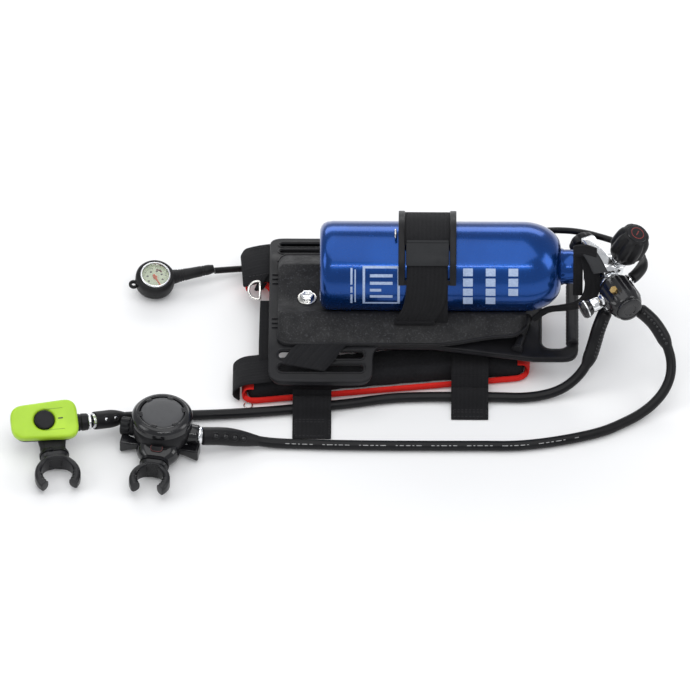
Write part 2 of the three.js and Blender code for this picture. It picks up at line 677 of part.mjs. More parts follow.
function buildBand() {
  const over = arc(57.1, 180, 0, 20, 0, TANK_Z);
  const webbing = [[-54, 72], [-56.9, 100], ...over, [56.9, 100], [54, 72]];
  const band = acrossX(prism(strip(webbing, 1.8), BAND.from, BAND.to));
  piece(set, "cam_webbing", band, WEBBING);

  const crown = [[20, 62.5], [35, 65], [55, 68], [75, 70], [100, 71], [125, 69], [140, 66]];
  const outerLine = crown.map(([angle, r]) => v2(...onBand(r, angle)));
  const innerLine = crown.map(([angle]) => v2(...onBand(59, angle))).reverse();
  const railShape = () => new THREE.Shape([...outerLine, ...innerLine]);
  const rail = (x) => acrossX(prism(railShape(), x, x + 10));
  const curved = (from, to, r, thickness, x0, x1) => {
    const line = [0, 1, 2, 3].map((i) => onBand(r, from + ((to - from) * i) / 3));
    return acrossX(prism(strip(line, thickness), x0, x1));
  };
  const bars = [curved(126, 139, 61.5, 3, 66, 137), curved(84, 94, 66, 3, 66, 137)];
  piece(set, "band_frame", carve(rail(65), [rail(128), ...bars]), BLACK);
  const leaf = curved(44, 76, 64, 2.4, 76, 127);
  const knuckle = acrossX(rod(2, 76, 127, 10)).translate(0, ...onBand(65.2, 77));
  piece(set, "buckle_lever", carve(leaf, [knuckle]), BLACK);
}

// ---------------------------------------------------------------- harness
// A closed outline whose corners are cut back by a length along both sides.
function eased(corners, length) {
  const count = corners.length;
  const points = corners.flatMap(([x, y], i) => {
    const towards = ([tx, ty]) => {
      const step = v2(tx - x, ty - y).normalize().multiplyScalar(length);
      return v2(x + step.x, y + step.y);
    };
    return [towards(corners[(i + count - 1) % count]), towards(corners[(i + 1) % count])];
  });
  return new THREE.Shape(points);
}

function buildHarness() {
  const front = [[-124, -122], [226, -76], [226, -12], [-124, -58]];
  piece(set, "pad_front", prism(eased(front, 10), 0, 26), PADDING);
  const rear = [[-128, 96], [-128, 72], [-92, 36], [226, 4], [226, 62]];
  piece(set, "pad_rear", prism(eased(rear, 10), 0, 26), PADDING);
  const keeper = (start, hose, radius, end, x0, x1) => {
    const over = arc(radius, 25, 150, 8, hose, 6.4);
    return acrossX(prism(strip([start, ...over, [hose - 17, 1.4], [end, 1.1]], 1.8), x0, x1));
  };
  piece(set, "hose_keeper_left", keeper([-115, 19], -131, 12, -184, -55, -22), WEBBING);
  piece(set, "hose_keeper_right", keeper([-92, 23], -112, 10, -148, 131, 163), WEBBING);
  const round = arc(25, 190, -10, 14, 0, TANK_Z);
  const strap = strip([[-30, 52], [-27.5, 100], ...round, [27.5, 100], [30, 52]], 2);
  piece(set, "neck_strap", acrossX(prism(strap, 272, 289)), WEBBING);

  const wire = 1.6;
  const loop = turned(arc(wire, 0, 360, 8, 0, 11), 24);
  const bar = rod(wire, -11.5, 11.5, 8).rotateX(Math.PI / 2).translate(3, 0, 0);
  const openHalf = solid(loop).intersect(solid(block(60, 60, 10, -27, 0, 0)));
  const dRing = openHalf.add(solid(bar));
  const hold = subset("d_ring_hold", v3(-109, 44, 39), [47, 0, 0]);
  piece(hold, "d_ring", dRing, CHROME);
}

// ---------------------------------------------------------------- the whole set
buildCylinder();
buildValve();
buildFirstStage();
buildHoses();
buildPrimary();
buildOctopus();
buildGauge();
buildPlate();
buildSaddle();
buildBand();
buildHarness();

// Moves the origin to the middle of the underside, measured without the free hoses.
function settle() {
  set.updateMatrixWorld(true);
  const bounds = new THREE.Box3();
  const hoses = ["hose_primary", "hose_octopus", "hose_gauge"];
  set.traverse((node) => {
    if (node.isMesh && !hoses.includes(node.name)) bounds.expandByObject(node, true);
  });
  const middle = bounds.getCenter(v3(0, 0, 0));
  set.position.set(-middle.x, -middle.y, -bounds.min.z);
}
settle();

export default set;
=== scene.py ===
"""Looks of the compact diving set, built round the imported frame.

Shapes are drawn in the same layout millimetres as the CAD source, then placed in metres.
"""

import math

import bmesh
import bpy
from mathutils import Matrix, Vector
from mathutils.geometry import interpolate_bezier


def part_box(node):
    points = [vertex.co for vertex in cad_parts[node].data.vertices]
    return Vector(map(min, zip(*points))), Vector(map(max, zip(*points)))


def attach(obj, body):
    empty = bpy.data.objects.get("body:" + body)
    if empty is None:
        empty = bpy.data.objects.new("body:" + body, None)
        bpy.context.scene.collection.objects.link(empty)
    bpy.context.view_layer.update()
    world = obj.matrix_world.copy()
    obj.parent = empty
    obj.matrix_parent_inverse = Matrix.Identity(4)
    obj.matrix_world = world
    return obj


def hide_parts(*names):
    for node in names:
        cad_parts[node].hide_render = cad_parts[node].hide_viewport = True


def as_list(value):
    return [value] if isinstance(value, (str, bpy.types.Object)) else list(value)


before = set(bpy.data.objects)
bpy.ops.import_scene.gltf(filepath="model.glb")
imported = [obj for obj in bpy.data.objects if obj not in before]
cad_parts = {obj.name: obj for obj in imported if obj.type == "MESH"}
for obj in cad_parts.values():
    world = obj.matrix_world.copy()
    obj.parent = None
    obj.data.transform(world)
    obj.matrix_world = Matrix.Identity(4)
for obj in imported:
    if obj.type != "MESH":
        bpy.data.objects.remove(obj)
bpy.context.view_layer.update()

# ---------------------------------------------------------------- places
TANK_R = 55.5
TANK_BASE_X = -31
TANK_LENGTH = 323
TANK_Z = 122
NECK_END_X = TANK_BASE_X + TANK_LENGTH
LP_HOSE = 12.5
HP_HOSE = 8
PLATE_TOP = 62
MERGE = 0.001
BEND_STEP = 9

tank_low, tank_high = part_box("cylinder")
ORIGIN = Vector((tank_low.x - TANK_BASE_X / 1000, (tank_low.y + tank_high.y) / 2, 0))
LAYOUT = Matrix.Translation(ORIGIN) @ Matrix.Scale(0.001, 4)
CAMERA_ELEVATION = math.radians(43)
TOWARDS_CAMERA = Vector((0, -math.cos(CAMERA_ELEVATION), math.sin(CAMERA_ELEVATION)))


def turn(degrees, axis):
    return Matrix.Rotation(math.radians(degrees), 4, axis)


def shift(x, y, z):
    return Matrix.Translation((x, y, z))


def towards(origin, direction):
    """The layout frame whose origin is there and whose z axis points that way."""
    spin = Vector(direction).to_track_quat("Z", "Y").to_matrix().to_4x4()
    return LAYOUT @ Matrix.Translation(origin) @ spin


def columns(origin, x, y, z):
    """The layout frame with these three axes."""
    spin = Matrix((x, y, z)).transposed().to_4x4()
    return LAYOUT @ Matrix.Translation(origin) @ spin


YOKE_TURN = math.radians(26)
YOKE_AT = Vector((NECK_END_X + 22, 0, TANK_Z))
YOKE_AXIS = Vector((math.sin(YOKE_TURN), -math.cos(YOKE_TURN), 0))
STEM_AT = Vector((NECK_END_X + 41, 0, TANK_Z))
STEM_AXIS = Vector((0.38, -0.15, 0.91)).normalized()
UP = Vector((0, 0, 1))
YOKE = columns(YOKE_AT, UP, YOKE_AXIS.cross(UP), YOKE_AXIS)
STEM = towards(STEM_AT, STEM_AXIS)
PRIMARY = LAYOUT @ shift(-224, -195, 24) @ turn(-10, "Z")
OCTOPUS = LAYOUT @ shift(-370, -195, 35) @ turn(8, "Z") @ turn(25, "X")
OCTOPUS_MOUTH = LAYOUT @ shift(-357.5, -226.5, 15.5) @ turn(8, "Z") @ turn(3, "X")
GAUGE = LAYOUT @ shift(-237, 84, 19.8) @ turn(17, "Z") @ turn(14, "X")
ALONG_X = turn(90, "Y")
TO_MOUTH = turn(90, "X")


# ---------------------------------------------------------------- materials
class Look:
    """A material wired from nodes. Numbers go straight on sockets, and sockets are linked."""

    def __init__(self, name, slot=None, **sockets):
        self.slot = slot
        self.material = bpy.data.materials.new(name)
        self.material.use_nodes = True
        self.tree = self.material.node_tree
        self.shader = self.tree.nodes["Principled BSDF"]
        self.feed(self.shader, {key.replace("_", " "): value for key, value in sockets.items()})

    def feed(self, node, inputs):
        for key, value in inputs.items():
            if isinstance(value, bpy.types.NodeSocket):
                self.tree.links.new(value, node.inputs[key])
            else:
                node.inputs[key].default_value = value

    def node(self, kind, inputs=None, out=0, **settings):
        made = self.tree.nodes.new("ShaderNode" + kind)
        for key, value in settings.items():
            setattr(made, key, value)
        self.feed(made, inputs or {})
        return made.outputs[out]

    def place(self):
        return self.node("TexCoord", out=3)

    def lay(self):
        """Millimetres along and across a ribbon."""
        return self.node("Attribute", out=1, attribute_name="lay")

    def noise(self, scale, detail=3.0, vector=None):
        inputs = {"Vector": vector or self.place(), "Scale": scale, "Detail": detail}
        return self.node("TexNoise", inputs)

    def spread(self, value, low, high, start=0.35, end=0.65):
        """Stretches a value's middle range to low..high."""
        inputs = {"Value": value, 1: start, 2: end, 3: low, 4: high}
        return self.node("MapRange", inputs)

    def math(self, operation, a, b=0.0, c=0.0):
        return self.node("Math", {0: a, 1: b, 2: c}, operation=operation)

    def tint(self, factor, dark, light):
        inputs = {0: factor, 6: (*dark, 1), 7: (*light, 1)}
        return self.node("Mix", inputs, out=2, data_type="RGBA")

    def paint(self, color=None, roughness=None, height=None, depth=0.2, distance=0.0003):
        if color:
            self.feed(self.shader, {"Base Color": color})
        if roughness:
            self.feed(self.shader, {"Roughness": roughness})
        if height:
            inputs = {"Height": height, "Strength": depth, "Distance": distance}
            self.feed(self.shader, {"Normal": self.node("Bump", inputs)})
        return self


def grained(name, slot, dark, light, rough, grain=1400, depth=0.25, **sockets):
    """Moulded plastic or rubber: a fine grain, slow colour drift and a few duller scuffs."""
    look = Look(name, slot, **sockets)
    fine = look.noise(grain, 2)
    drift = look.noise(22, 4)
    scuff = look.spread(look.noise(160, 6), 0, 0.14, 0.56, 0.72)
    color = look.tint(look.spread(drift, 0, 1), dark, light)
    roughness = look.math("ADD", look.spread(drift, rough - 0.06, rough + 0.06), scuff)
    return look.paint(color, roughness, fine, depth)


def metal(name, slot, dark, light, rough, grain=500):
    look = Look(name, slot, Metallic=1.0)
    drift = look.noise(60, 4)
    fine = look.noise(grain, 5)
    color = look.tint(look.spread(drift, 0, 1), dark, light)
    return look.paint(color, look.spread(fine, rough, rough + 0.12), fine, 0.05, 0.0001)


def anodised():
    """Deep blue anodised aluminium: round-the-tank polishing lines under a clear coat."""
    look = Look("tank_blue", "tank_paint", Metallic=0.82, Coat_Weight=0.25, Coat_Roughness=0.06)
    stretched = look.node("VectorMath", {0: look.place(), 1: (900, 12, 12)}, operation="MULTIPLY")
    lines = look.noise(1, 3, stretched)
    drift = look.noise(9, 3)
    scuff = look.spread(look.noise(240, 6), 0, 0.12, 0.62, 0.74)
    color = look.tint(look.spread(drift, 0, 1), (0.003, 0.045, 0.22), (0.005, 0.062, 0.29))
    roughness = look.math("ADD", look.spread(lines, 0.2, 0.25), scuff)
    return look.paint(color, roughness, lines, 0.012, 0.0001)


def speckled():
    """Glass-filled nylon: a rough dark ground with pale fibre specks."""
    look = Look("speckled_nylon", "saddle_plastic", Specular_IOR_Level=0.3)
    specks = look.spread(look.noise(900, 2), 0, 1, 0.6, 0.72)
    flecks = look.spread(look.noise(330, 4), 0, 0.5, 0.58, 0.7)
    both = look.math("MAXIMUM", specks, flecks)
    color = look.tint(both, (0.007, 0.007, 0.008), (0.055, 0.055, 0.06))
    return look.paint(color, look.spread(look.noise(70), 0.5, 0.68), look.noise(1100, 4), 0.5)


def woven(name, slot, dark, light, pitch=1.7, wave=5.2, lay=True, depth=0.7):
    """Herringbone webbing: slanting threads that turn back in columns across the strap."""
    look = Look(name, slot, Sheen_Weight=0.02, Sheen_Roughness=0.5, Specular_IOR_Level=0.2)
    axes = look.node("SeparateXYZ", {0: look.lay() if lay else look.place()})
    parts = axes.node.outputs
    size = 1.0 if lay else 0.001
    zigzag = look.math("PINGPONG", parts[1], wave * size)
    slant = look.math("ADD", parts[0], zigzag)
    threads = look.math("SINE", look.math("MULTIPLY", slant, 2 * math.pi / (pitch * size)))
    ribs = look.math("SINE", look.math("MULTIPLY", parts[1], 2 * math.pi / (wave * size)))
    height = look.math("MULTIPLY_ADD", ribs, 0.35, threads)
    fuzz = look.noise(1800, 4)
    height = look.math("MULTIPLY_ADD", fuzz, 0.9, height)
    shade = look.math("MULTIPLY_ADD", look.noise(45, 5), 0.5, look.spread(height, 0, 0.6, -1, 1.5))
    color = look.tint(shade, dark, light)
    return look.paint(color, look.spread(fuzz, 0.72, 0.92), height, depth, 0.00035)


def cordura(name, slot, dark, light, pitch=0.0011, depth=0.6):
    """Plain-woven pack cloth: threads over and under each other, with slow folds of tone."""
    look = Look(name, slot, Sheen_Weight=0.02, Sheen_Roughness=0.45, Specular_IOR_Level=0.2)
    wobble = look.noise(260, 3)
    parts = look.node("SeparateXYZ", {0: look.place()}).node.outputs
    step = 2 * math.pi / pitch
    rise = look.math("MULTIPLY_ADD", parts[2], step, wobble)
    warp = look.math("SINE", look.math("MULTIPLY_ADD", parts[0], step, wobble))
    weft = look.math("SINE", look.math("MULTIPLY_ADD", parts[1], step, rise))
    height = look.math("MULTIPLY", warp, weft)
    tone = look.math("MULTIPLY_ADD", look.noise(30, 5), 0.6, look.spread(height, 0, 0.4, -1, 1))
    color = look.tint(tone, dark, light)
    return look.paint(color, look.spread(wobble, 0.75, 0.95), height, depth, 0.0003)


def flat_print(name, slot, dark, light):
    """Screen-printed ink, slightly uneven and a little rubbed."""
    look = Look(name, slot)
    rubbed = look.noise(420, 6)
    color = look.tint(look.spread(rubbed, 0, 1), dark, light)
    return look.paint(color, look.spread(rubbed, 0.35, 0.5), rubbed, 0.1, 0.0001)


def glass():
    look = Look("gauge_glass", "clear_lens", Transmission_Weight=1.0, IOR=1.45)
    haze = look.spread(look.noise(300, 5), 0.02, 0.06)
    return look.paint(look.tint(haze, (0.97, 0.98, 0.98), (0.9, 0.93, 0.94)), haze)


TANK = anodised()
DULL = {"Specular_IOR_Level": 0.2}
PLASTIC = grained("black_moulding", "black_plastic", (0.006, 0.006, 0.007), (0.012, 0.012, 0.014), 0.36,
                  **DULL)
GLOSS = grained("gloss_moulding", "black_plastic", (0.005, 0.005, 0.006), (0.01, 0.01, 0.012), 0.17, 700,
                0.05)
MATT = grained("matt_moulding", "black_plastic", (0.034, 0.035, 0.038), (0.046, 0.047, 0.051), 0.46, 1100,
               0.2)
RIM = grained("rim_moulding", "black_plastic", (0.01, 0.01, 0.012), (0.018, 0.018, 0.02), 0.42, 1200, 0.3,
              **DULL)
SATIN = grained("satin_moulding", "black_plastic", (0.012, 0.013, 0.015), (0.018, 0.019, 0.021), 0.4, 1100,
                0.1, **DULL)
HOSE = grained("hose_rubber", "black_rubber", (0.005, 0.005, 0.006), (0.01, 0.01, 0.011), 0.34, 900, 0.12,
               **DULL)
RUBBER = grained("soft_rubber", "black_rubber", (0.006, 0.006, 0.007), (0.014, 0.014, 0.015), 0.42, **DULL)
SILICONE = grained("mouth_silicone", "silicone", (0.005, 0.005, 0.006), (0.012, 0.012, 0.014), 0.3, 1000,
                   0.1, Specular_IOR_Level=0.35)
LIME = grained("lime_moulding", "lime_plastic", (0.36, 0.6, 0.02), (0.44, 0.7, 0.035), 0.4, 900, 0.3)
LIME_DARK = grained("lime_shadow", "lime_plastic", (0.15, 0.27, 0.012), (0.2, 0.34, 0.02), 0.5)
CHROME = metal("polished_chrome", "chrome", (0.74, 0.75, 0.77), (0.86, 0.87, 0.88), 0.07)
NICKEL = metal("nickel_wire", "chrome", (0.6, 0.59, 0.56), (0.74, 0.73, 0.7), 0.14)
BRASS = metal("turned_brass", "brass", (0.55, 0.36, 0.13), (0.68, 0.47, 0.2), 0.18)
STEEL = metal("spring_wire", "spring_steel", (0.42, 0.43, 0.45), (0.56, 0.57, 0.6), 0.2)
SADDLE = speckled()
TAB = grained("rubber_tab", "black_rubber", (0.02, 0.021, 0.023), (0.03, 0.031, 0.034), 0.5, 1500, 0.5,
              **DULL)
STRAP_TONES = (0.002, 0.002, 0.003), (0.016, 0.016, 0.018)
WEBBING_FLAT = woven("flap_webbing", "webbing", *STRAP_TONES, lay=False)
WEBBING = woven("harness_webbing", "webbing", *STRAP_TONES)
PADDING = cordura("pad_cloth", "pad_fabric", (0.005, 0.005, 0.006), (0.022, 0.022, 0.025))
PIPING = cordura("red_piping", None, (0.5, 0.008, 0.008), (0.85, 0.03, 0.02), 0.0009, 0.3)
THREAD = cordura("black_thread", None, (0.02, 0.02, 0.022), (0.07, 0.07, 0.075), 0.0005)
SILVER_INK = flat_print("silver_ink", None, (0.3, 0.39, 0.58), (0.4, 0.49, 0.68))
WHITE_INK = flat_print("white_ink", None, (0.2, 0.2, 0.2), (0.36, 0.36, 0.36))
RED_INK = flat_print("red_ink", None, (0.12, 0.016, 0.016), (0.2, 0.024, 0.022))
DARK_INK = flat_print("dark_ink", None, (0.02, 0.025, 0.02), (0.05, 0.055, 0.045))
DIAL = flat_print("dial_enamel", "dial_face", (0.66, 0.73, 0.52), (0.74, 0.8, 0.62))
NEEDLE = flat_print("needle_enamel", "needle_red", (0.6, 0.09, 0.02), (0.78, 0.14, 0.03))
LENS = glass()


# ---------------------------------------------------------------- mesh helpers
def turns(count):
    """Evenly spaced angles once round."""
    return [2 * math.pi * i / count for i in range(count)]


def whole_ring(centre, radius, across=0.0):
    """A small round section for lathe: the points (along, radius) of a torus."""
    angles = [math.pi * k / 6 for k in range(13)]
    return [(across + radius * math.sin(a), centre + radius * math.cos(a)) for a in angles]


def settle(name, mesh, look, place, body, stands_for, sharp, bevel):
    """Cleans a mesh, rounds and marks its sharp edges, and makes it a piece of the object."""
    shape = bmesh.new()
    shape.from_mesh(mesh)
    bmesh.ops.remove_doubles(shape, verts=shape.verts, dist=MERGE)
    bmesh.ops.recalc_face_normals(shape, faces=shape.faces)
    limit = math.radians(sharp)
    if bevel:
        edges = [e for e in shape.edges if e.is_manifold and e.calc_face_angle() > limit]
        settings = {"offset": bevel, "segments": 3, "profile": 0.5, "affect": "EDGES"}
        bmesh.ops.bevel(shape, geom=edges, clamp_overlap=True, **settings)
    for edge in shape.edges:
        edge.smooth = not edge.is_manifold or edge.calc_face_angle() < limit
    for face in shape.faces:
        face.smooth = True
    bmesh.ops.transform(shape, matrix=place, verts=shape.verts)
    shape.to_mesh(mesh)
    shape.free()
    return enlist(bpy.data.objects.new(name, mesh), look, body, stands_for)


def enlist(piece, look, body="set", stands_for=None):
    bpy.context.scene.collection.objects.link(piece)
    piece.data.materials.append(look.material)
    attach(piece, body)
    if stands_for:
        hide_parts(stands_for)
    return piece


def loft(name, rings, look, place=LAYOUT, body="set", stands_for=None, closed=False, lay=None,
         sharp=38, bevel=0.0):
    """A closed skin over rings of points that all have the same count."""
    count = len(rings[0])
    faces = []
    for i in range(len(rings) if closed else len(rings) - 1):
        low = i * count
        high = (i + 1) % len(rings) * count
        for j in range(count):
            k = (j + 1) % count
            faces.append((low + j, low + k, high + k, high + j))
    if not closed:
        faces.append(tuple(reversed(range(count))))
        faces.append(tuple(range((len(rings) - 1) * count, len(rings) * count)))
    mesh = bpy.data.meshes.new(name)
    mesh.from_pydata([Vector(point) for ring in rings for point in ring], [], faces)
    if lay:
        made = mesh.attributes.new("lay", "FLOAT_VECTOR", "POINT")
        made.data.foreach_set("vector", [value for pair in lay for value in (*pair, 0.0)])
    return settle(name, mesh, look, place, body, stands_for, sharp, bevel)


def lathe(name, profile, look, place, segments=64, shape=None, **options):
    """Turns (along, radius) points about the local z axis. shape may change a radius by angle."""
    angles = turns(segments)
    rings = []
    for along, radius in profile:
        radii = [shape(along, radius, angle) if shape else radius for angle in angles]
        rings.append([(r * math.cos(a), r * math.sin(a), along) for r, a in zip(radii, angles)])
    return loft(name, rings, look, place, **options)


def fluted(count, depth, low, high):
    """Scoops round a knob, between two heights."""

    def shape(along, radius, angle):
        if not low <= along <= high:
            return radius
        return radius - depth * (0.5 - 0.5 * math.cos(count * angle)) ** 2

    return shape


def slab(name, outline, low, high, look, place=LAYOUT, holes=(), rounding=0.8, bend=None, **options):
    """A flat outline with holes, grown from low to high with rounded rims, and bent if asked."""
    curve = bpy.data.curves.new(name, "CURVE")
    curve.dimensions = "2D"
    curve.fill_mode = "BOTH"
    curve.extrude = (high - low) / 2 - rounding
    curve.bevel_depth = rounding
    curve.bevel_resolution = 3
    curve.offset = -rounding
    for loop in (outline, *holes):
        spline = curve.splines.new("POLY")
        spline.points.add(len(loop) - 1)
        spline.points.foreach_set("co", [v for x, y in loop for v in (x, y, 0, 1)])
        spline.use_cyclic_u = True
    source = bpy.data.objects.new(name + "_outline", curve)
    mesh = bpy.data.meshes.new_from_object(source)
    bpy.data.objects.remove(source)
    bpy.data.curves.remove(curve)
    mesh.transform(shift(0, 0, (low + high) / 2))
    if bend:
        grid(mesh, BEND_STEP)
        for vertex in mesh.vertices:
            vertex.co.z += bend(vertex.co.x, vertex.co.y)
    settings = {"body": "set", "stands_for": None, "sharp": 38, "bevel": 0.0, **options}
    return settle(name, mesh, look, place, **settings)


def grid(mesh, step):
    """Cuts a mesh at every step along x and y, so that it can bend."""
    shape = bmesh.new()
    shape.from_mesh(mesh)
    bmesh.ops.remove_doubles(shape, verts=shape.verts, dist=MERGE)
    for axis in (0, 1):
        values = [vertex.co[axis] for vertex in shape.verts]
        normal = Vector((1 - axis, axis, 0))
        for i in range(int(min(values) // step) + 1, int(max(values) // step) + 1):
            geometry = shape.verts[:] + shape.edges[:] + shape.faces[:]
            bmesh.ops.bisect_plane(shape, geom=geometry, plane_co=normal * i * step, plane_no=normal)
    shape.to_mesh(mesh)
    shape.free()


def rounded(width, height, radius, x=0.0, y=0.0, steps=6):
    """A rounded rectangle, anticlockwise."""
    points = []
    for corner, (sx, sy) in enumerate([(1, 1), (-1, 1), (-1, -1), (1, -1)]):
        for i in range(steps + 1):
            angle = math.radians(90 * (corner + i / steps))
            cx = x + sx * (width / 2 - radius)
            cy = y + sy * (height / 2 - radius)
            points.append((cx + radius * math.cos(angle), cy + radius * math.sin(angle)))
    return points


def circle(radius, steps=32, x=0.0, y=0.0):
    return [(x + radius * math.cos(a), y + radius * math.sin(a)) for a in turns(steps)]


def softened(corners, radius, steps=5):
    """A polygon whose corners are rounded by quadratic curves."""
    points = []
    for i, corner in enumerate(corners):
        here = Vector(corner)
        before = Vector(corners[i - 1]) - here
        after = Vector(corners[(i + 1) % len(corners)]) - here
        start = here + before.normalized() * min(radius, before.length / 2)
        end = here + after.normalized() * min(radius, after.length / 2)
        for k in range(steps + 1):
            t = k / steps
            points.append(tuple(start * (1 - t) ** 2 + here * 2 * t * (1 - t) + end * t * t))
    return points


# ---------------------------------------------------------------- paths
def segments_of(points):
    """Bezier segments of a centripetal Catmull-Rom curve through the points."""
    line = [2 * points[0] - points[1], *points, 2 * points[-1] - points[-2]]
    result = []
    for p0, p1, p2, p3 in zip(line, line[1:], line[2:], line[3:]):
        d0, d1, d2 = [math.sqrt((b - a).length) for a, b in ((p0, p1), (p1, p2), (p2, p3))]
        leave = ((p1 - p0) / d0 - (p2 - p0) / (d0 + d1) + (p2 - p1) / d1) * d1
        arrive = ((p2 - p1) / d1 - (p3 - p1) / (d1 + d2) + (p3 - p2) / d2) * d1
        result.append((p1, p1 + leave / 3, p2 - arrive / 3, p2))
    return result


BEZIER_STEPS = 12


class Path:
    """A smooth line through points, measured by length along it."""

    def __init__(self, points):
        self.segments = segments_of([Vector(p) for p in points])
        self.line = [self.segments[0][0]]
        for segment in self.segments:
            self.line += interpolate_bezier(*segment, BEZIER_STEPS + 1)[1:]
        self.marks = [0.0]
        for a, b in zip(self.line, self.line[1:]):
            self.marks.append(self.marks[-1] + (b - a).length)
        self.length = self.marks[-1]

    def at(self, distance):
        """The point there and the direction of travel."""
        for i, mark in enumerate(self.marks[1:]):
            if mark >= distance or i == len(self.marks) - 2:
                a, b = self.line[i], self.line[i + 1]
                share = (distance - self.marks[i]) / (mark - self.marks[i])
                return a.lerp(b, share), (b - a).normalized()

    def stations(self, start, end, step):
        count = max(2, round((end - start) / step))
        return [self.at(start + (end - start) * i / count) for i in range(count + 1)]


def facing(direction):
    """The two axes across a path: one to its side, and one up towards the camera."""
    side = direction.cross(TOWARDS_CAMERA).normalized()
    return side, side.cross(direction)


def round_section(point, direction, radius, segments):
    """A circle of points across a path. Angle 90 degrees faces the camera side."""
    side, up = facing(direction)
    return [point + side * (radius * math.cos(a)) + up * (radius * math.sin(a)) for a in turns(segments)]


def tube(name, path, start, end, radius_at, look, step=1.6, segments=28, **options):
    """A round sleeve along part of a path. radius_at takes the distance from the start."""
    stations = path.stations(start, end, step)
    span = end - start
    rings = []
    for i, (point, direction) in enumerate(stations):
        distance = span * i / (len(stations) - 1)
        rings.append(round_section(point, direction, radius_at(distance), segments))
    return loft(name, rings, look, **options)


def ribbon(name, points, across, look, thickness=1.8, step=4, **options):
    """A flat strap along a path. across is its full width as a vector, or a list, one for each point."""
    path = Path(points)
    widths = across if isinstance(across, list) else [across] * len(points)
    widths = [Vector(width) for width in widths]
    knots = path.marks[::BEZIER_STEPS]
    count = max(2, round(path.length / step))
    rings = []
    lay = []
    for i in range(count + 1):
        distance = path.length * i / count
        point, direction = path.at(distance)
        passed = [k for k, knot in enumerate(knots[:-1]) if knot <= distance + 1e-6]
        index = passed[-1]
        share = (distance - knots[index]) / (knots[index + 1] - knots[index])
        width = widths[index].lerp(widths[index + 1], min(1, share))
        normal = direction.cross(width).normalized()
        ring, places = strap_section(point, width, normal, thickness)
        rings.append(ring)
        lay += [(distance, place) for place in places]
    return loft(name, rings, look, lay=lay, sharp=60, **options)


def strap_section(point, width, normal, thickness, lanes=8):
    """The points of a strap's cut end, with its edges rounded, and each one's place across."""
    half = width.length / 2
    edge = thickness / 2
    top = [-half + edge + (2 * half - 2 * edge) * i / lanes for i in range(lanes + 1)]
    outline = [(a, edge) for a in top] + [(half, 0.0)]
    outline += [(a, -edge) for a in reversed(top)] + [(-half, 0.0)]
    side = width.normalized()
    return [point + side * a + normal * b for a, b in outline], [a for a, _ in outline]


def stitches(name, runs, normal, length=3.2, gap=1.5, radius=0.45):
    """Rows of short thread stitches, each run given by its two ends."""
    swells = ((0.0, 0.3), (0.25, 1.0), (0.75, 1.0), (1.0, 0.3))
    sides = 6
    points = []
    faces = []
    up = Vector(normal).normalized()
    for start, end in runs:
        start, end = Vector(start), Vector(end)
        direction = (end - start).normalized()
        side = direction.cross(up)
        for i in range(int((end - start).length / (length + gap))):
            base = start + direction * i * (length + gap)
            first = len(points)
            for share, swell in swells:
                for angle in turns(sides):
                    offset = side * math.cos(angle) + up * math.sin(angle)
                    points.append(base + direction * length * share + offset * radius * swell)
            for row in range(len(swells) - 1):
                for k in range(sides):
                    a = first + row * sides + k
                    b = first + row * sides + (k + 1) % sides
                    faces.append((a, b, b + sides, a + sides))
            for row in (0, len(swells) - 1):
                faces.append(tuple(range(first + row * sides, first + (row + 1) * sides)))
    mesh = bpy.data.meshes.new(name)
    mesh.from_pydata(points, [], faces)
    return settle(name, mesh, THREAD, LAYOUT, "set", None, 50, 0.0)


# ---------------------------------------------------------------- camera and light
def make_camera():
    distance = 25
    view_width = 0.856
    azimuth = math.radians(0.4)
    level = Vector((math.sin(azimuth), -math.cos(azimuth), 0)) * math.cos(CAMERA_ELEVATION)
    away = level + Vector((0, 0, math.sin(CAMERA_ELEVATION)))
    data = bpy.data.cameras.new("camera")
    data.sensor_width = 36
    data.lens = 36 * distance / view_width
    camera = bpy.data.objects.new("camera", data)
    camera.location = LAYOUT @ Vector((0, -13, 0)) + away * distance
    camera.rotation_euler = away.to_track_quat("Z", "Y").to_euler()
    bpy.context.scene.collection.objects.link(camera)
    bpy.context.scene.camera = camera


def make_light(name, position, size, power, target=(60, -40, 60)):
    data = bpy.data.lights.new(name, "AREA")
    data.shape = "RECTANGLE"
    data.size, data.size_y = size
    data.energy = power
    light = bpy.data.objects.new(name, data)
    light.location = position
    away = light.location - LAYOUT @ Vector(target)
    light.rotation_euler = away.to_track_quat("Z", "Y").to_euler()
    bpy.context.scene.collection.objects.link(light)


def make_studio():
    world = bpy.data.worlds.new("studio")
    bpy.context.scene.world = world
    world.use_nodes = True
    background = world.node_tree.nodes["Background"]
    background.inputs["Color"].default_value = (0.95, 0.97, 1, 1)
    background.inputs["Strength"].default_value = 0.55
    bpy.context.scene.view_settings.view_transform = "Standard"
    make_light("top_box", (-0.1, -0.1, 2.2), (3, 2), 24)
    make_light("back_box", (0, 2.1, 1.15), (2.8, 0.8), 20)
    make_light("front_strip", (0.15, -2.1, 2.15), (2.2, 0.12), 12)
    make_light("left_box", (-1.9, -0.5, 1.2), (1.0, 1.0), 8)
    make_light("right_box", (1.9, -0.3, 1.0), (0.8, 1.0), 7)
    mesh = bpy.data.meshes.new("floor")
    corners = [(-8, -8, 0), (8, -8, 0), (8, 8, 0), (-8, 8, 0)]
    mesh.from_pydata(corners, [], [(0, 1, 2, 3)])
    floor = bpy.data.objects.new("floor", mesh)
    floor.location.z = -0.0004
    look = Look("pale_floor", None, Roughness=0.7)
    look.paint(look.tint(look.noise(3, 2), (0.86, 0.86, 0.865), (0.9, 0.9, 0.9)))
    mesh.materials.append(look.material)
    bpy.context.scene.collection.objects.link(floor)


make_camera()
make_studio()

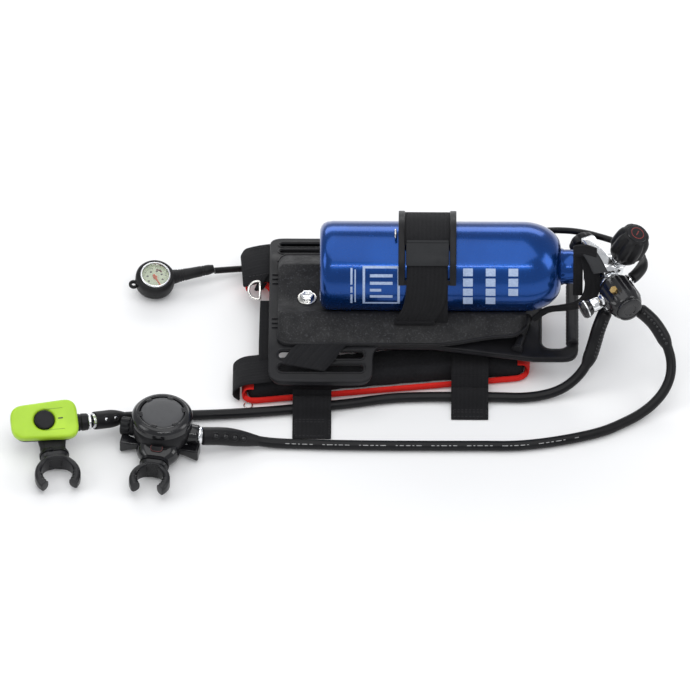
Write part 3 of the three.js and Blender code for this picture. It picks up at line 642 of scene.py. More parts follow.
# ---------------------------------------------------------------- hoses
PORTS = {
    "primary": (YOKE_AT + YOKE_AXIS * 57, Vector((0.78, -0.2, -0.59)).normalized(), 29),
    "octopus": (YOKE_AT + YOKE_AXIS * 46, Vector((-0.38, -0.37, -0.85)).normalized(), 28),
    "gauge": (YOKE_AT + YOKE_AXIS * 46, Vector((0.72, 0.66, 0.08)).normalized(), 25),
    "relief": (YOKE_AT + YOKE_AXIS * 52, Vector((-0.88, -0.43, -0.22)).normalized(), 24),
}
LEADS = {"primary": 10, "octopus": 12, "gauge": 6}
DIAMETERS = {"primary": LP_HOSE, "octopus": LP_HOSE, "gauge": HP_HOSE}
ROUTES = {
    "primary": [
        (381, -63, 88), (391, -70, 75), (399, -79, 61), (403.5, -90, 47), (402.5, -103, 33.5),
        (395, -117, 22), (382, -131, 13.5), (365, -145, 8.6), (343, -160, 6.8), (317, -175, 6.6),
        (267, -191, 6.6), (217, -200, 6.6), (167, -201, 6.6), (6, -201, 6.6), (-87, -198, 7),
        (-109, -197, 9.8), (-131, -198, 15), (-150, -201, 20.5), (-169, -204.6, 24),
    ],
    "octopus": [
        (314, -63.5, 77), (309.5, -70.5, 62), (304, -79, 46), (296, -88, 32), (284, -96.5, 20.5),
        (268, -104, 12.2), (248, -109.5, 7.8), (222, -113.5, 6.6), (180, -113, 6.6), (68, -115, 6.6),
        (0, -127, 6.6), (-105, -142, 6.6), (-187, -148.5, 6.7), (-215, -149, 7), (-236, -151.2, 8.4),
        (-256, -156.5, 12), (-274, -164.5, 17.6), (-290, -174.5, 24), (-306.5, -182.4, 28.6),
    ],
    "gauge": [
        (361.2, -15.2, 125.2), (367, -4.6, 126), (369, 7.6, 126.3), (366.4, 19.8, 126),
        (359.2, 30.4, 125.2), (348, 39, 124), (334, 46.5, 122.5), (317, 55.5, 121), (299, 65, 118.5),
        (276, 75, 113.5),
        (249, 86, 103), (221, 98, 83), (191, 110, 56), (160, 120, 29.5), (125, 126, 12.5),
        (85, 127.5, 5), (0, 127, 4.5), (-80, 123, 4.8), (-130, 116, 8.5), (-163, 106.5, 14),
    ],
}


def route(name):
    """The hose leaves its port straight, for its lead, and then passes through its points."""
    origin, direction, reach = PORTS[name]
    ends = [origin + direction * (reach + extra) for extra in (0.4, LEADS[name])]
    return Path([*ends, *ROUTES[name]])


PATHS = {name: route(name) for name in ROUTES}


def hose_line(name):
    """The hose itself: one open Bezier curve along the CAD route."""
    path = PATHS[name]
    curve = bpy.data.curves.new("hose_line_" + name, "CURVE")
    curve.dimensions = "3D"
    curve.bevel_depth = DIAMETERS[name] / 2000
    curve.bevel_resolution = 6
    curve.resolution_u = 12
    curve.use_fill_caps = True
    spline = curve.splines.new("BEZIER")
    spline.bezier_points.add(len(path.segments))
    place = LAYOUT.to_translation()
    for i, point in enumerate(spline.bezier_points):
        after = path.segments[min(i, len(path.segments) - 1)]
        before = path.segments[max(i - 1, 0)]
        knot = after[0] if i < len(path.segments) else before[3]
        left = before[2] if i > 0 else knot
        right = after[1] if i < len(path.segments) else knot
        point.handle_left_type = point.handle_right_type = "FREE"
        point.co = place + knot / 1000
        point.handle_left = place + left / 1000
        point.handle_right = place + right / 1000
    piece = bpy.data.objects.new("hose_line_" + name, curve)
    return enlist(piece, HOSE, "set", "hose_" + name)


def tapered(length, thick, thin, lead=4, tail=14):
    """A strain relief's radius: a short rise, a straight run and a long taper to the hose."""

    def radius(distance):
        rise = min(1, distance / lead)
        fall = min(1, (length - distance) / tail)
        return thin + (thick - thin) * math.sin(math.pi / 2 * max(0, min(rise, fall)))

    return radius


def bumps(name, path, distances, size, look, lift):
    """A row of low oval domes along a sleeve's upper side."""
    pieces = []
    angles = [math.pi / 2 * k / 5 for k in range(6)]
    profile = [(1.5 * math.sin(a), math.cos(a)) for a in angles]
    stretch = Matrix.Diagonal((*size, 1, 1))
    for i, distance in enumerate(distances):
        point, direction = path.at(distance)
        side, up = facing(direction)
        place = columns(point + up * lift, direction, side, up)
        pieces.append(lathe(f"{name}_{i}", profile, look, place @ stretch, 20))
    return pieces


def eyelets(name, path, distances, size, look, lift):
    """Domes that show through a boot, each with a thick rubber rim."""
    pieces = bumps(name, path, distances, size, look, lift)
    profile = whole_ring(size[0] + 0.9, 1.1, 0.2)
    stretch = Matrix.Diagonal((1, size[1] / size[0], 1, 1))
    for i, distance in enumerate(distances):
        point, direction = path.at(distance)
        side, up = facing(direction)
        place = columns(point + up * lift, direction, side, up)
        settings = {"closed": True, "sharp": 80}
        pieces.append(lathe(f"{name}_rim_{i}", profile, RUBBER, place @ stretch, 32, **settings))
    return pieces


def swivel(name, path):
    """The hose's end ring, mostly under the boot."""
    point, direction = path.at(path.length)
    profile = [
        (-3, 6), (-3, 9.6), (0, 10), (2.6, 10), (3, 9.4), (3.6, 9.4), (4, 8.6), (5.4, 8.6), (5.8, 8),
        (5.8, 5),
    ]
    return lathe("swivel_ring_" + name, profile, CHROME, towards(point, direction),
                 stands_for="swivel_" + name, sharp=30)


def chevrons(name, path, distances):
    """Short raised bars down the right-hand side of a sleeve."""
    pieces = []
    for i, distance in enumerate(distances):
        point, direction = path.at(distance)
        side, up = facing(direction)
        outward = (up * 0.72 - side * 0.7).normalized()
        slanted = (direction * 0.5 + outward.cross(direction)).normalized()
        place = columns(point + outward * 8.3, slanted, outward.cross(slanted), outward)
        bar = rounded(8, 2, 0.9)
        pieces.append(slab(f"{name}_{i:02d}", bar, -0.6, 1.1, GLOSS, place, rounding=0.4))
    return pieces


def printed_line(name, path, start, end):
    """A line of plain dashes along the hose, in place of its lettering."""
    dashes = [5, 2.4, 7, 3, 4, 6.5, 2.2, 5.5]
    gap, wide_gap, group = 2.6, 12, 5
    half_height = 0.5
    lean = math.sqrt((LP_HOSE / 2 + 0.06) ** 2 - half_height**2)
    points = []
    faces = []
    low = start
    index = 0
    while low < end:
        length = dashes[index % len(dashes)]
        first = len(points)
        for point, direction in path.stations(low, low + length, 3):
            side, up = facing(direction)
            points += [point + side * offset + up * lean for offset in (-half_height, half_height)]
        for a in range(first, len(points) - 2, 2):
            faces.append((a, a + 1, a + 3, a + 2))
        low += length + (gap if index % group else wide_gap)
        index += 1
    mesh = bpy.data.meshes.new(name)
    mesh.from_pydata(points, [], faces)
    return settle(name, mesh, WHITE_INK, LAYOUT, "set", None, 60, 0.0)


def build_hoses():
    primary, octopus, gauge = PATHS.values()
    lines = {name: hose_line(name) for name in PATHS}
    thin = LP_HOSE / 2 + 0.1
    end = primary.length
    on_primary = [
        tube("sleeve_skin_primary", primary, 1, 62, tapered(61, 8.9, thin), HOSE,
             stands_for="hose_sleeve_primary"),
        tube("boot_skin_primary", primary, end - 66, end + 8, tapered(74, 11.2, thin, 42, 3), RUBBER,
             stands_for="hose_boot_primary"),
        swivel("primary", primary),
        printed_line("hose_print", primary, 250, 620),
        *bumps("sleeve_bump", primary, [8 + 6 * i for i in range(9)], (2.2, 1.8), GLOSS, 8.4),
        *eyelets("boot_eye", primary, [end - 9 - 12 * i for i in range(4)], (3.4, 3.1), GLOSS, 10.2),
    ]
    end = octopus.length
    on_octopus = [
        tube("sleeve_skin_octopus", octopus, 1, 76, tapered(75, 8.9, thin), HOSE,
             stands_for="hose_sleeve_octopus"),
        tube("boot_skin_octopus", octopus, end - 42, end + 5, tapered(47, 11.2, thin, 24, 4), RUBBER,
             stands_for="hose_boot_octopus"),
        swivel("octopus", octopus),
        *eyelets("octopus_boot_eye", octopus, [end - 22, end - 10], (3.2, 2.8), CHROME, 10),
        *chevrons("octopus_chevron", octopus, [14 + 4.6 * i for i in range(11)]),
    ]
    on_gauge = [
        tube("boot_skin_gauge", gauge, 1, 40, tapered(39, 7.4, HP_HOSE / 2 + 0.1, 2, 20), RUBBER),
    ]
    extras = {"primary": on_primary, "octopus": on_octopus, "gauge": on_gauge}
    for name, line in lines.items():
        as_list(extras[name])
build_hoses()

# ---------------------------------------------------------------- cylinder
def dome_curve(steps=16):
    """The shoulder, from the straight side to the neck."""
    start, depth, neck = 250, 48, 23
    angles = [math.pi / 2 * i / steps for i in range(steps + 1)]
    return [(start + depth * math.sin(a), neck + (TANK_R - neck) * math.cos(a)) for a in angles]


def tank_patch(name, areas, look, lift=0.12):
    """Thin printed areas that follow the tank: (x from, x to, degrees from, degrees to) each."""
    steps = 16
    outer, inner = TANK_R + lift, TANK_R - 0.2
    for index, (x0, x1, a0, a1) in enumerate(areas):
        corners = ((x0, inner), (x1, inner), (x1, outer), (x0, outer))
        rings = []
        for i in range(steps + 1):
            angle = math.radians(a0 + (a1 - a0) * i / steps)
            rings.append([(x, -r * math.sin(angle), TANK_Z + r * math.cos(angle)) for x, r in corners])
        loft(f"{name}_{index}", rings, look)


def build_tank():
    place = towards((TANK_BASE_X, 0, TANK_Z), (1, 0, 0))
    foot = [
        (4, 0), (3.4, 16), (1.6, 30), (0, 41), (0.2, 45), (1.6, 49), (4.5, 52.4), (9, 54.6), (16, TANK_R),
    ]
    neck = [(300, 22.4), (302, 21.4), (316, 21.4), (317.5, 23), (322, 23), (323, 22), (323, 12)]
    lathe("tank_shell", [*foot, *dome_curve(), *neck], TANK, place, 128, stands_for="cylinder", sharp=50)
    frame_bars = [(22, 68, 47.5, 50.5), (22, 68, 101, 104), (22, 25, 50.5, 101), (65, 68, 50.5, 101)]
    slots = [(31, 59, 58, 62), (31, 59, 68, 72), (31, 45, 78, 82), (31, 59, 88, 92)]
    side_bars = [(7, 9.5, 50, 72), (7, 9.5, 75, 84), (7, 9.5, 87, 103), (12, 13.6, 52, 101)]
    tank_patch("tank_frame_mark", frame_bars + slots, SILVER_INK)
    tank_patch("tank_side_mark", side_bars, SILVER_INK)
    columns_at = [(146, 158), (174, 186), (202, 214)]
    dashes = [(50, 60), (63, 74), (77, 88), (91, 104)]
    blocks = [(*column, *dash) for column in columns_at for dash in dashes]
    tank_patch("tank_bar_mark", blocks[:-1], SILVER_INK)


# ---------------------------------------------------------------- valve and first stage
def build_valve():
    neck = towards((NECK_END_X, 0, TANK_Z), (1, 0, 0))
    post = [
        (3, 6), (3, 17.2), (8, 17.2), (8.4, 15.8), (11, 15.8), (12, 16.6), (40, 16.6), (45, 15.4),
        (50, 11), (52, 6),
    ]
    lathe("valve_post", post, CHROME, neck, stands_for="valve_body", sharp=28, bevel=0.4)
    outlet = towards(YOKE_AT, YOKE_AXIS)
    lathe("valve_outlet", [(8, 5), (8, 10.9), (24, 10.9), (25, 10), (25, 5)], CHROME, outlet, bevel=0.3)
    back = towards(YOKE_AT, -YOKE_AXIS)
    lathe("valve_dimple", [(8, 3), (8, 7.9), (20, 7.9), (21, 7), (19, 3)], CHROME, back, bevel=0.3)
    boss = [
        (8, 5), (8, 10.9), (14, 10.9), (14.4, 10), (15.6, 10), (16, 10.9), (20, 10.9), (21, 10), (21, 5),
    ]
    lathe("valve_boss", boss, CHROME, STEM, bevel=0.25)
    nut = [(21.3, 5), (21.3, 12), (22, 12.8), (26.2, 12.8), (27, 12), (27, 5)]
    lathe("bonnet_nut", nut, CHROME, STEM, 6, stands_for="valve_bonnet", bevel=0.5)
    grip = [
        (28, 5), (28, 16.8), (28.8, 17.6), (33, 19.6), (38, 22), (42, 22.5), (54, 22), (60, 21.4),
        (65, 20), (68.6, 18), (71, 15.6), (72, 13.4), (72, 5),
    ]
    lathe("knob_grip", grip, RUBBER, STEM, 128, fluted(8, 3.4, 29, 70), stands_for="valve_knob",
          body="valve_spindle", sharp=55)
    cap = [(70, 11), (72.4, 13), (73.2, 12.6), (73.7, 10), (74, 5), (74.1, 0)]
    lathe("knob_cap", cap, GLOSS, STEM, 64, body="valve_spindle")
    mark = [(73.2, 7.4), (73.98, 7.4), (73.9, 8.6), (73.2, 8.6), (73.2, 7.4)]
    lathe("knob_cap_ring", mark, RED_INK, STEM, 48, body="valve_spindle", closed=True)
    pointer = slab("knob_cap_mark", rounded(8, 1.4, 0.6), 73.4, 74.25, RED_INK, STEM, rounding=0.2)
    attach(pointer, "valve_spindle")


def port_boss(name):
    """A black boss on the barrel with a chrome hose nut on its end."""
    origin, direction, reach = PORTS[name]
    place = towards(origin, direction)
    nut = [(-8, 4), (-8, 7.6), (-7, 8.6), (-2.6, 8.6), (-1.6, 7.4), (0, 6.8), (0, 4)]
    nut = [(reach + along, radius) for along, radius in nut]
    boss = [(10, 4), (10, 8.5), (reach - 9, 8.5), (reach - 8, 7.6), (reach - 8, 4)]
    lathe("port_boss_" + name, boss, PLASTIC, place, 40, bevel=0.3)
    lathe("port_nut_" + name, nut, CHROME, place, 6, bevel=0.4)


def build_first_stage():
    side = YOKE @ TO_MOUTH
    opening = rounded(40, 56, 8, 0, -3)[::-1]
    slab("yoke_clamp", rounded(52, 70, 12, 0, -3), -8, 8, CHROME, side, holes=(opening,), rounding=2,
         stands_for="yoke")
    knob = [
        (-53, 4), (-53, 12), (-51.6, 14.6), (-50, 16.6), (-48, 17), (-43.4, 17), (-41, 16), (-40, 14.6),
        (-40, 4),
    ]
    lathe("yoke_handle", knob, PLASTIC, YOKE, 96, fluted(8, 2, -51, -41), stands_for="yoke_knob",
          body="yoke_screw", sharp=50)
    thread = [(-42, 0.5), (-42, 5)]
    thread += [(-41 + 0.9 * i, 5.1 if i % 2 else 4.5) for i in range(22)]
    thread += [(-21.4, 4.2), (-21.3, 0.5)]
    lathe("yoke_thread", thread, CHROME, YOKE, 24, body="yoke_screw", sharp=70)
    barrel = [
        (36, 6), (36, 16), (38, 17.6), (44, 21.6), (46, 22), (70, 22), (74, 21.8), (80, 19.4),
        (83, 17.6), (84, 16.4), (84, 6),
    ]
    lathe("barrel_shell", barrel, GLOSS, YOKE, 160, fluted(10, 1.7, 42, 78),
          stands_for="first_stage_body", sharp=60)
    collar = [(24, 6), (24, 12), (32.6, 12), (33, 15.4), (35.4, 15.4), (36.2, 14.4), (36.2, 6)]
    lathe("barrel_collar", collar, CHROME, YOKE, bevel=0.3)
    cap = [(84.2, 5), (84.2, 16.2), (85, 16.6), (87, 16.4), (88, 15), (88, 8), (87, 7.4), (87, 5)]
    lathe("barrel_cap", cap, GLOSS, YOKE, stands_for="first_stage_cap", bevel=0.3)
    for name in PORTS:
        port_boss(name)
    origin, direction, reach = PORTS["relief"]
    relief = towards(origin + direction * reach, direction)
    dome = [(0.3, 3), (0.3, 7.4), (2, 8.4), (6, 9), (12.4, 9), (13.4, 8.2), (14, 3)]
    lathe("relief_dome", dome, CHROME, relief, stands_for="relief_valve", sharp=30, bevel=0.3)
    cup = [(14, 3), (14, 9.4), (18, 11), (20, 11.5), (24, 11.4), (26.4, 9.4), (27, 6), (27, 0)]
    lathe("relief_cup", cup, GLOSS, relief, 40)
    rim = [(19, 11), (19.4, 11.9), (21, 11.9), (21.4, 11), (19, 11)]
    lathe("relief_rim", rim, CHROME, relief, 48, closed=True)


# ---------------------------------------------------------------- mouthpieces and ties
def oval_ring(width, height, z, x=0.0, y=0.0):
    radius = min(width, height) / 2 - 0.01
    return [(px, py, z) for px, py in rounded(width, height, radius, x, y, 8)]


def mouthpiece(name, place, width, length, stands_for):
    """Soft mouthpiece: ribbed sleeve, curved lip shield and two claws that turn in, ribbed inside."""
    reach = width / 2 - 5
    middle = length - 0.64 * reach
    top = middle - reach
    trunk = [
        (33, 20, 0), (34.6, 21.6, 0.5), (34.6, 21.6, 2.2), (33, 20, 2.8), (33, 20, 7), (34.6, 21.6, 7.6),
        (34.4, 21.4, 9), (31, 19, 11), (32, 19, top - 1), (36, 20, top + 2),
    ]
    loft(name + "_sleeve", [oval_ring(*ring) for ring in trunk], SILICONE, place, stands_for=stands_for,
         sharp=50)

    def sweep_back(x, y):
        return reach - math.sqrt(max(reach**2 - x**2, 16))

    shield = rounded(2 * reach - 5, 24, 11)
    mouth = rounded(20, 9, 4.4)[::-1]
    slab(name + "_shield", shield, top - 1.4, top + 1.8, SILICONE, place, holes=(mouth,), rounding=1.2,
         bend=sweep_back)
    steps = 32
    for sign, side in ((-1, "left"), (1, "right")):
        claw = []
        for i in range(steps + 1):
            share = i / steps
            angle = math.radians(22 + 110 * share)
            thick = 5 + 6 * share
            height = 23 - 9 * share
            tooth = 1.3 if share > 0.55 and i % 4 < 2 else 0
            ring = []
            for a, b in rounded(thick, height, thick / 2 - 0.2):
                r = reach + a - (tooth if a < 0 else 0)
                ring.append((sign * r * math.sin(angle), b, middle - r * math.cos(angle)))
            claw.append(ring)
        loft(f"{name}_claw_{side}", claw, SILICONE, place, sharp=50, bevel=0.4)


def cable_tie(name, place, width, height, z, head):
    """A ribbed plastic tie round an oval, with its square head at an angle."""
    radius = height / 2
    straight = width / 2 - radius
    low, high = z - 1.8, z + 1.8
    rings = []
    for i, (x, y) in enumerate(rounded(width, height, radius - 0.01, steps=16)):
        centre = Vector((max(-1, min(1, x / (straight + 0.1))) * straight, 0))
        outward = (Vector((x, y)) - centre).normalized() * (1.45 if i % 2 else 1.2)
        outer = (x + outward.x, y + outward.y)
        rings.append([(x, y, low), (*outer, low), (*outer, high), (x, y, high)])
    loft(name, rings, PLASTIC, place, closed=True, sharp=50)
    spot = place @ turn(head, "Z") @ shift(0, height / 2 + 1.6, z)
    slab(name + "_head", rounded(5.4, 4.4, 0.8), -2.6, 2.6, PLASTIC, spot, rounding=0.5)


# ---------------------------------------------------------------- primary second stage
def build_primary():
    casing = [
        (-20, 0), (-20, 12), (-19, 17), (-16, 23), (-11, 30), (-6, 34), (0, 36.2), (5, 37), (17, 37),
        (18, 36), (18, 30),
    ]
    lathe("primary_casing", casing, PLASTIC, PRIMARY, 96, stands_for="primary_body", sharp=50)
    ring_profile = [
        (18.3, 34), (18.3, 37), (19, 37.7), (25, 37.7), (27, 37), (30, 34.4), (31.2, 32.4), (31.5, 30.4),
        (31.2, 28.4), (30, 27.8), (26, 27.8), (24.5, 31), (18.3, 34),
    ]
    lathe("primary_face_ring", ring_profile, GLOSS, PRIMARY, 160, stands_for="primary_cover", closed=True,
          sharp=40)
    purge = [(24, 6), (24, 27), (29.6, 27), (30.8, 26.2), (31.3, 25), (31.9, 18), (32.2, 10), (32.3, 0)]
    lathe("primary_purge_disc", purge, MATT, PRIMARY, 120, stands_for="primary_purge",
          body="primary_button", sharp=50)
    for i in range(6):
        place = PRIMARY @ turn(60 * i + 18, "Z") @ shift(26.6, 0, 0)
        slab(f"purge_notch_{i}", rounded(4.6, 7.5, 1), 30.2, 31.9, GLOSS, place, rounding=0.4)
    inlet = [(28, 5), (28, 13), (36, 13), (44, 12.4), (45.6, 11.4), (46, 10), (46, 5)]
    lathe("primary_inlet", inlet, GLOSS, PRIMARY @ ALONG_X, 48, bevel=0.3)
    collar = [(46.2, 4.5), (46.2, 10.6), (46.8, 11), (49, 11), (49.6, 10.4), (51.8, 9.8), (51.8, 4.5)]
    lathe("primary_inlet_nut", collar, CHROME, PRIMARY @ ALONG_X, 48, bevel=0.3)
    left = PRIMARY @ turn(-90, "Y")
    cap_end = [(28, 5), (28, 11), (39, 11), (40, 10.4), (40, 5)]
    lathe("primary_left_boss", cap_end, PLASTIC, left, 48, bevel=0.3)
    dial = [(40.5, 3), (40.5, 10.8), (41.2, 11.5), (50, 11.5), (51.4, 10.6), (52, 9), (52, 0)]
    lathe("primary_breathing_dial", dial, PLASTIC, left, 100, fluted(10, 1.3, 41, 51),
          stands_for="primary_adjust_knob", body="primary_adjuster", sharp=50)
    port = [
        (54, 30, 18), (54, 29, 30), (51, 26, 36), (45, 21.6, 41), (38, 19.6, 44.6), (34, 18.6, 46.6),
        (33, 17.6, 47.4),
    ]
    place = PRIMARY @ shift(0, 0, -8) @ TO_MOUTH
    loft("primary_port", [oval_ring(*ring) for ring in port], GLOSS, place, sharp=50)
    badge = PRIMARY @ shift(0, -38, 5.4) @ turn(34, "X")
    slab("primary_port_badge", rounded(16, 10, 4.9), -1, 0.8, PLASTIC, badge, rounding=0.4)
    slab("primary_port_outline", rounded(15, 9, 4.4), 0.4, 1, RED_INK, badge,
         holes=(rounded(14, 8, 3.9)[::-1],), rounding=0.1)
    mouth = PRIMARY @ shift(0, -47.9, -8) @ TO_MOUTH
    mouthpiece("primary_bite", mouth, 52, 49, "primary_mouthpiece")
    cable_tie("primary_tie", mouth, 34, 21, 5, -52)
    half = [(-49, 15, 17), (-47, 17, 18), (-38, 13, 14), (-28, 10, 10)]
    sections = [*half, (0, 8, 8), *[(-x, height, depth) for x, height, depth in reversed(half)]]
    wings = []
    for x, height, depth in sections:
        wings.append([(x, y - 16, z - 13) for z, y in rounded(height, depth, 2.4, steps=4)])
    loft("exhaust_wings", wings, GLOSS, PRIMARY, stands_for="primary_exhaust_tee", sharp=30, bevel=0.5)


# ---------------------------------------------------------------- octopus second stage
def build_octopus():
    shell = softened([(41.5, 26), (-41.5, 21.5), (-41.5, -21.5), (41.5, -26)], 17, 10)
    slab("octopus_shell", shell, 0, 13.5, LIME, OCTOPUS, holes=(circle(12.6, 48)[::-1],), rounding=4.2,
         stands_for="octopus_cover")
    back = softened([(37, 21), (-37, 17), (-37, -17), (37, -21)], 14, 8)
    slab("octopus_back", back, -15, 0.6, PLASTIC, OCTOPUS, rounding=4, stands_for="octopus_body")
    button = [(5.6, 3), (5.6, 12.5), (12.6, 12.5), (13.8, 12.2), (14.5, 11.4), (14.9, 9.4), (15.1, 0)]
    lathe("octopus_button", button, PLASTIC, OCTOPUS, 64, stands_for="octopus_purge",
          body="octopus_button", sharp=50)
    for index, y in enumerate((13.4, -14.2)):
        groove = rounded(24, 0.7, 0.3, 12, y)
        slab(f"octopus_groove_{index}", groove, 13.1, 13.62, LIME_DARK, OCTOPUS, rounding=0.1)
    slab("octopus_dash", rounded(6.4, 1.7, 0.8, 20, 0), 13, 13.8, DARK_INK, OCTOPUS, rounding=0.2)
    side = OCTOPUS @ shift(0, 0, -7) @ ALONG_X
    inlet = [
        (30, 4), (30, 10.8), (44, 10.8), (45, 10), (46, 10), (47, 10.8), (54, 10.4), (55, 9.4), (55, 4),
    ]
    lathe("octopus_inlet", inlet, RUBBER, side, 48, bevel=0.3)
    nut = [(55.2, 3.5), (55.2, 9.4), (56, 10), (58, 10), (58.6, 9.4), (58.6, 3.5)]
    lathe("octopus_inlet_nut", nut, CHROME, side, 48, bevel=0.3)
    port = [(36, 15, 16), (34, 14, 24), (32, 13, 28), (32, 13, 33.4), (31, 12, 34)]
    place = OCTOPUS @ shift(8, 0, -8) @ TO_MOUTH
    loft("octopus_port", [oval_ring(*ring) for ring in port], PLASTIC, place, sharp=50)
    mouth = OCTOPUS_MOUTH @ TO_MOUTH
    mouthpiece("octopus_bite", mouth, 58, 55, "octopus_mouthpiece")
    cable_tie("octopus_tie", mouth, 34, 21, 5, 20)


# ---------------------------------------------------------------- pressure gauge
def build_gauge():
    cup = [
        (-13, 0), (-13, 18), (-12, 21), (-9, 23.8), (-6, 24.5), (3, 24.5), (6, 24.2), (9, 22.6),
        (10, 20.8), (9.6, 19.4), (8, 19.2), (4, 19.2), (2, 19.2), (1.6, 15),
    ]
    lathe("gauge_shell", cup, RUBBER, GAUGE, 96, stands_for="gauge_case", sharp=45)
    handle = [
        (18, 9.4), (22, 9.2), (30, 8.2), (31, 7.5), (33, 8), (34, 7.2), (36, 7.7), (37, 7), (39, 7.5),
        (45, 7), (60, 6.6), (61, 6), (63, 6.5), (64, 5.9), (66, 6.4), (70, 6.2), (76, 5),
    ]
    lathe("gauge_handle", handle, RUBBER, GAUGE @ shift(0, 0, -3) @ ALONG_X, 40, sharp=40)
    eye = [
        (-4, 2.6), (-3.6, 5.6), (-3, 6), (-1, 6), (-0.4, 5.6), (0, 4), (0, 3), (-0.6, 2.5), (-3.6, 2.5),
        (-4, 2.6),
    ]
    lathe("gauge_eye", eye, RUBBER, GAUGE @ shift(-27.5, 0, 0), 32, closed=True, sharp=60)
    bezel = [
        (7, 16.6), (7, 19.2), (9.6, 19.2), (11, 18.6), (11.6, 17.8), (11.5, 17), (10.6, 16.5), (7, 16.6),
    ]
    lathe("gauge_rim", bezel, CHROME, GAUGE, 80, stands_for="gauge_bezel", closed=True, sharp=50)
    wall = [(2.6, 16.4), (2.6, 19), (7, 19), (7, 16.6), (2.6, 16.4)]
    lathe("gauge_inner_wall", wall, DIAL, GAUGE, 64, closed=True)
    face = [(2, 0), (2, 18.8), (3.1, 18.8), (3.1, 0)]
    lathe("gauge_face", face, DIAL, GAUGE, 64, stands_for="gauge_dial")
    for i in range(31):
        drop, width, length = (1, 0.62, 2.4) if i % 5 == 0 else (0.4, 0.3, 1.2)
        place = GAUGE @ turn(135 - 9 * i, "Z") @ shift(0, 15 - drop, 0)
        tick = rounded(width, length, width / 2.2)
        slab(f"dial_tick_{i}", tick, 3.0, 3.25, DARK_INK, place, rounding=0.05)
    arc = []
    for i in range(13):
        angle = math.radians(68 - 3.2 * i)
        corners = ((11, 3), (13, 3), (13, 3.2), (11, 3.2))
        arc.append([(r * math.cos(angle), r * math.sin(angle), z) for r, z in corners])
    loft("dial_red_arc", arc, RED_INK, GAUGE)
    for i in range(6):
        bearing = 110 - 46 * i
        place = GAUGE @ turn(bearing, "Z") @ shift(0, 9.6, 0) @ turn(-bearing, "Z")
        slab(f"dial_figure_{i}", rounded(2.6, 2, 0.6), 3.0, 3.2, DARK_INK, place, rounding=0.05)
    blade = [(-1.5, -4.5), (1.5, -4.5), (0.5, 14), (-0.5, 14)]
    needle = slab("gauge_pointer_blade", blade, 3.6, 4.5, NEEDLE, GAUGE @ turn(-167, "Z"), rounding=0.2,
                  stands_for="gauge_needle")
    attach(needle, "gauge_pointer")
    hub = [(3.2, 0.5), (3.2, 2.6), (4.8, 2.6), (5.3, 2), (5.4, 0)]
    lathe("gauge_pointer_hub", hub, NEEDLE, GAUGE, 24, body="gauge_pointer")


# ---------------------------------------------------------------- backplate
PLATE_LEFT, PLATE_RIGHT = -94, 289
LOBE_END, LOBE_HALF, WAIST_HALF = 35, 130.4, 80
DROP_START, DROP_END = 109, 234
SLOT_X = -29


def plate_height(x, y):
    """How far the plate lies below its high deck: lobes slope down, and the valve end steps down."""
    lobe = -14 * max(0, abs(y) - 84) / 45
    run = min(1, max(0, (x - DROP_START) / (DROP_END - DROP_START)))
    return lobe - 20 * run


def plate_outline(inset=0.0):
    left, right = PLATE_LEFT + inset, PLATE_RIGHT - inset
    lobe, waist, step = LOBE_HALF - inset, WAIST_HALF - inset, LOBE_END - inset
    corners = [(left, -lobe), (step, -lobe), (step, -waist), (right, -waist),
               (right, waist), (step, waist), (step, lobe), (left, lobe)]
    return softened(corners, 17)


def moulding(name, line, look, radii, height, sharp):
    """A rounded rim along a closed line in plan. height(x, y) gives its middle."""
    rings = []
    for i, (x, y) in enumerate(line):
        along = Vector(line[(i + 1) % len(line)]) - Vector(line[i - 1])
        out = Vector((along.y, -along.x)).normalized()
        ring = []
        for angle in turns(12):
            a, b = radii[0] * math.cos(angle), radii[1] * math.sin(angle)
            ring.append((x + out.x * a, y + out.y * a, height(x, y) + b))
        rings.append(ring)
    loft(name, rings, look, closed=True, sharp=sharp)


def bead(name, line, look, radii, drop):
    """A rounded rim that follows a closed outline over the plate."""
    moulding(name, dense(line), look, radii, lambda x, y: PLATE_TOP - 2 + plate_height(x, y) + drop, 60)


def dense(line, step=6):
    """The same closed line with extra points on its long stretches."""
    result = []
    for i, point in enumerate(line):
        here, after = Vector(point), Vector(line[(i + 1) % len(line)])
        count = max(1, round((after - here).length / step))
        result += [tuple(here.lerp(after, k / count)) for k in range(count)]
    return result


def build_plate():
    handle = rounded(33, 124, 12, 260.5, 0)[::-1]
    slots = [(SLOT_X, side * y) for y in (93.5, 111.5) for side in (-1, 1)]
    holes = [rounded(105, 10, 4.9, *slot)[::-1] for slot in slots]
    slab("plate_shell", plate_outline(), PLATE_TOP - 4, PLATE_TOP, PLASTIC, holes=(handle, *holes),
         rounding=1.2, bend=plate_height, stands_for="backplate")
    bead("plate_rim", plate_outline(2.4), RIM, (2.4, 4.6), -2.4)
    bead("handle_rim", rounded(38, 129, 14, 260.5, 0), RIM, (2.4, 3.4), -0.6)
    for index, slot in enumerate(slots):
        bead(f"slot_rim_{index}", rounded(109, 14, 6.6, *slot), PLASTIC, (1.3, 1.7), 1.4)
    ribs = [(y, 8 if y % 6 else 6.8) for y in range(-51, 52, 3)]
    grip = towards((281.5, 0, 40), (0, 1, 0))
    lathe("handle_grip", [(-53, 2), (-53, 6.4), *ribs, (53, 6.4), (53, 2)], RIM, grip, 40, sharp=70)
    for index, y in enumerate((-48, -40, -32, 32, 40, 48)):
        place = LAYOUT @ shift(-86, y, PLATE_TOP)
        slab(f"margin_rib_{index}", rounded(9, 2.2, 1), 0, 1.2, PLASTIC, place, rounding=0.4)


# ---------------------------------------------------------------- saddle
SADDLE_HALF = 82.7
SADDLE_TOP = 84.5


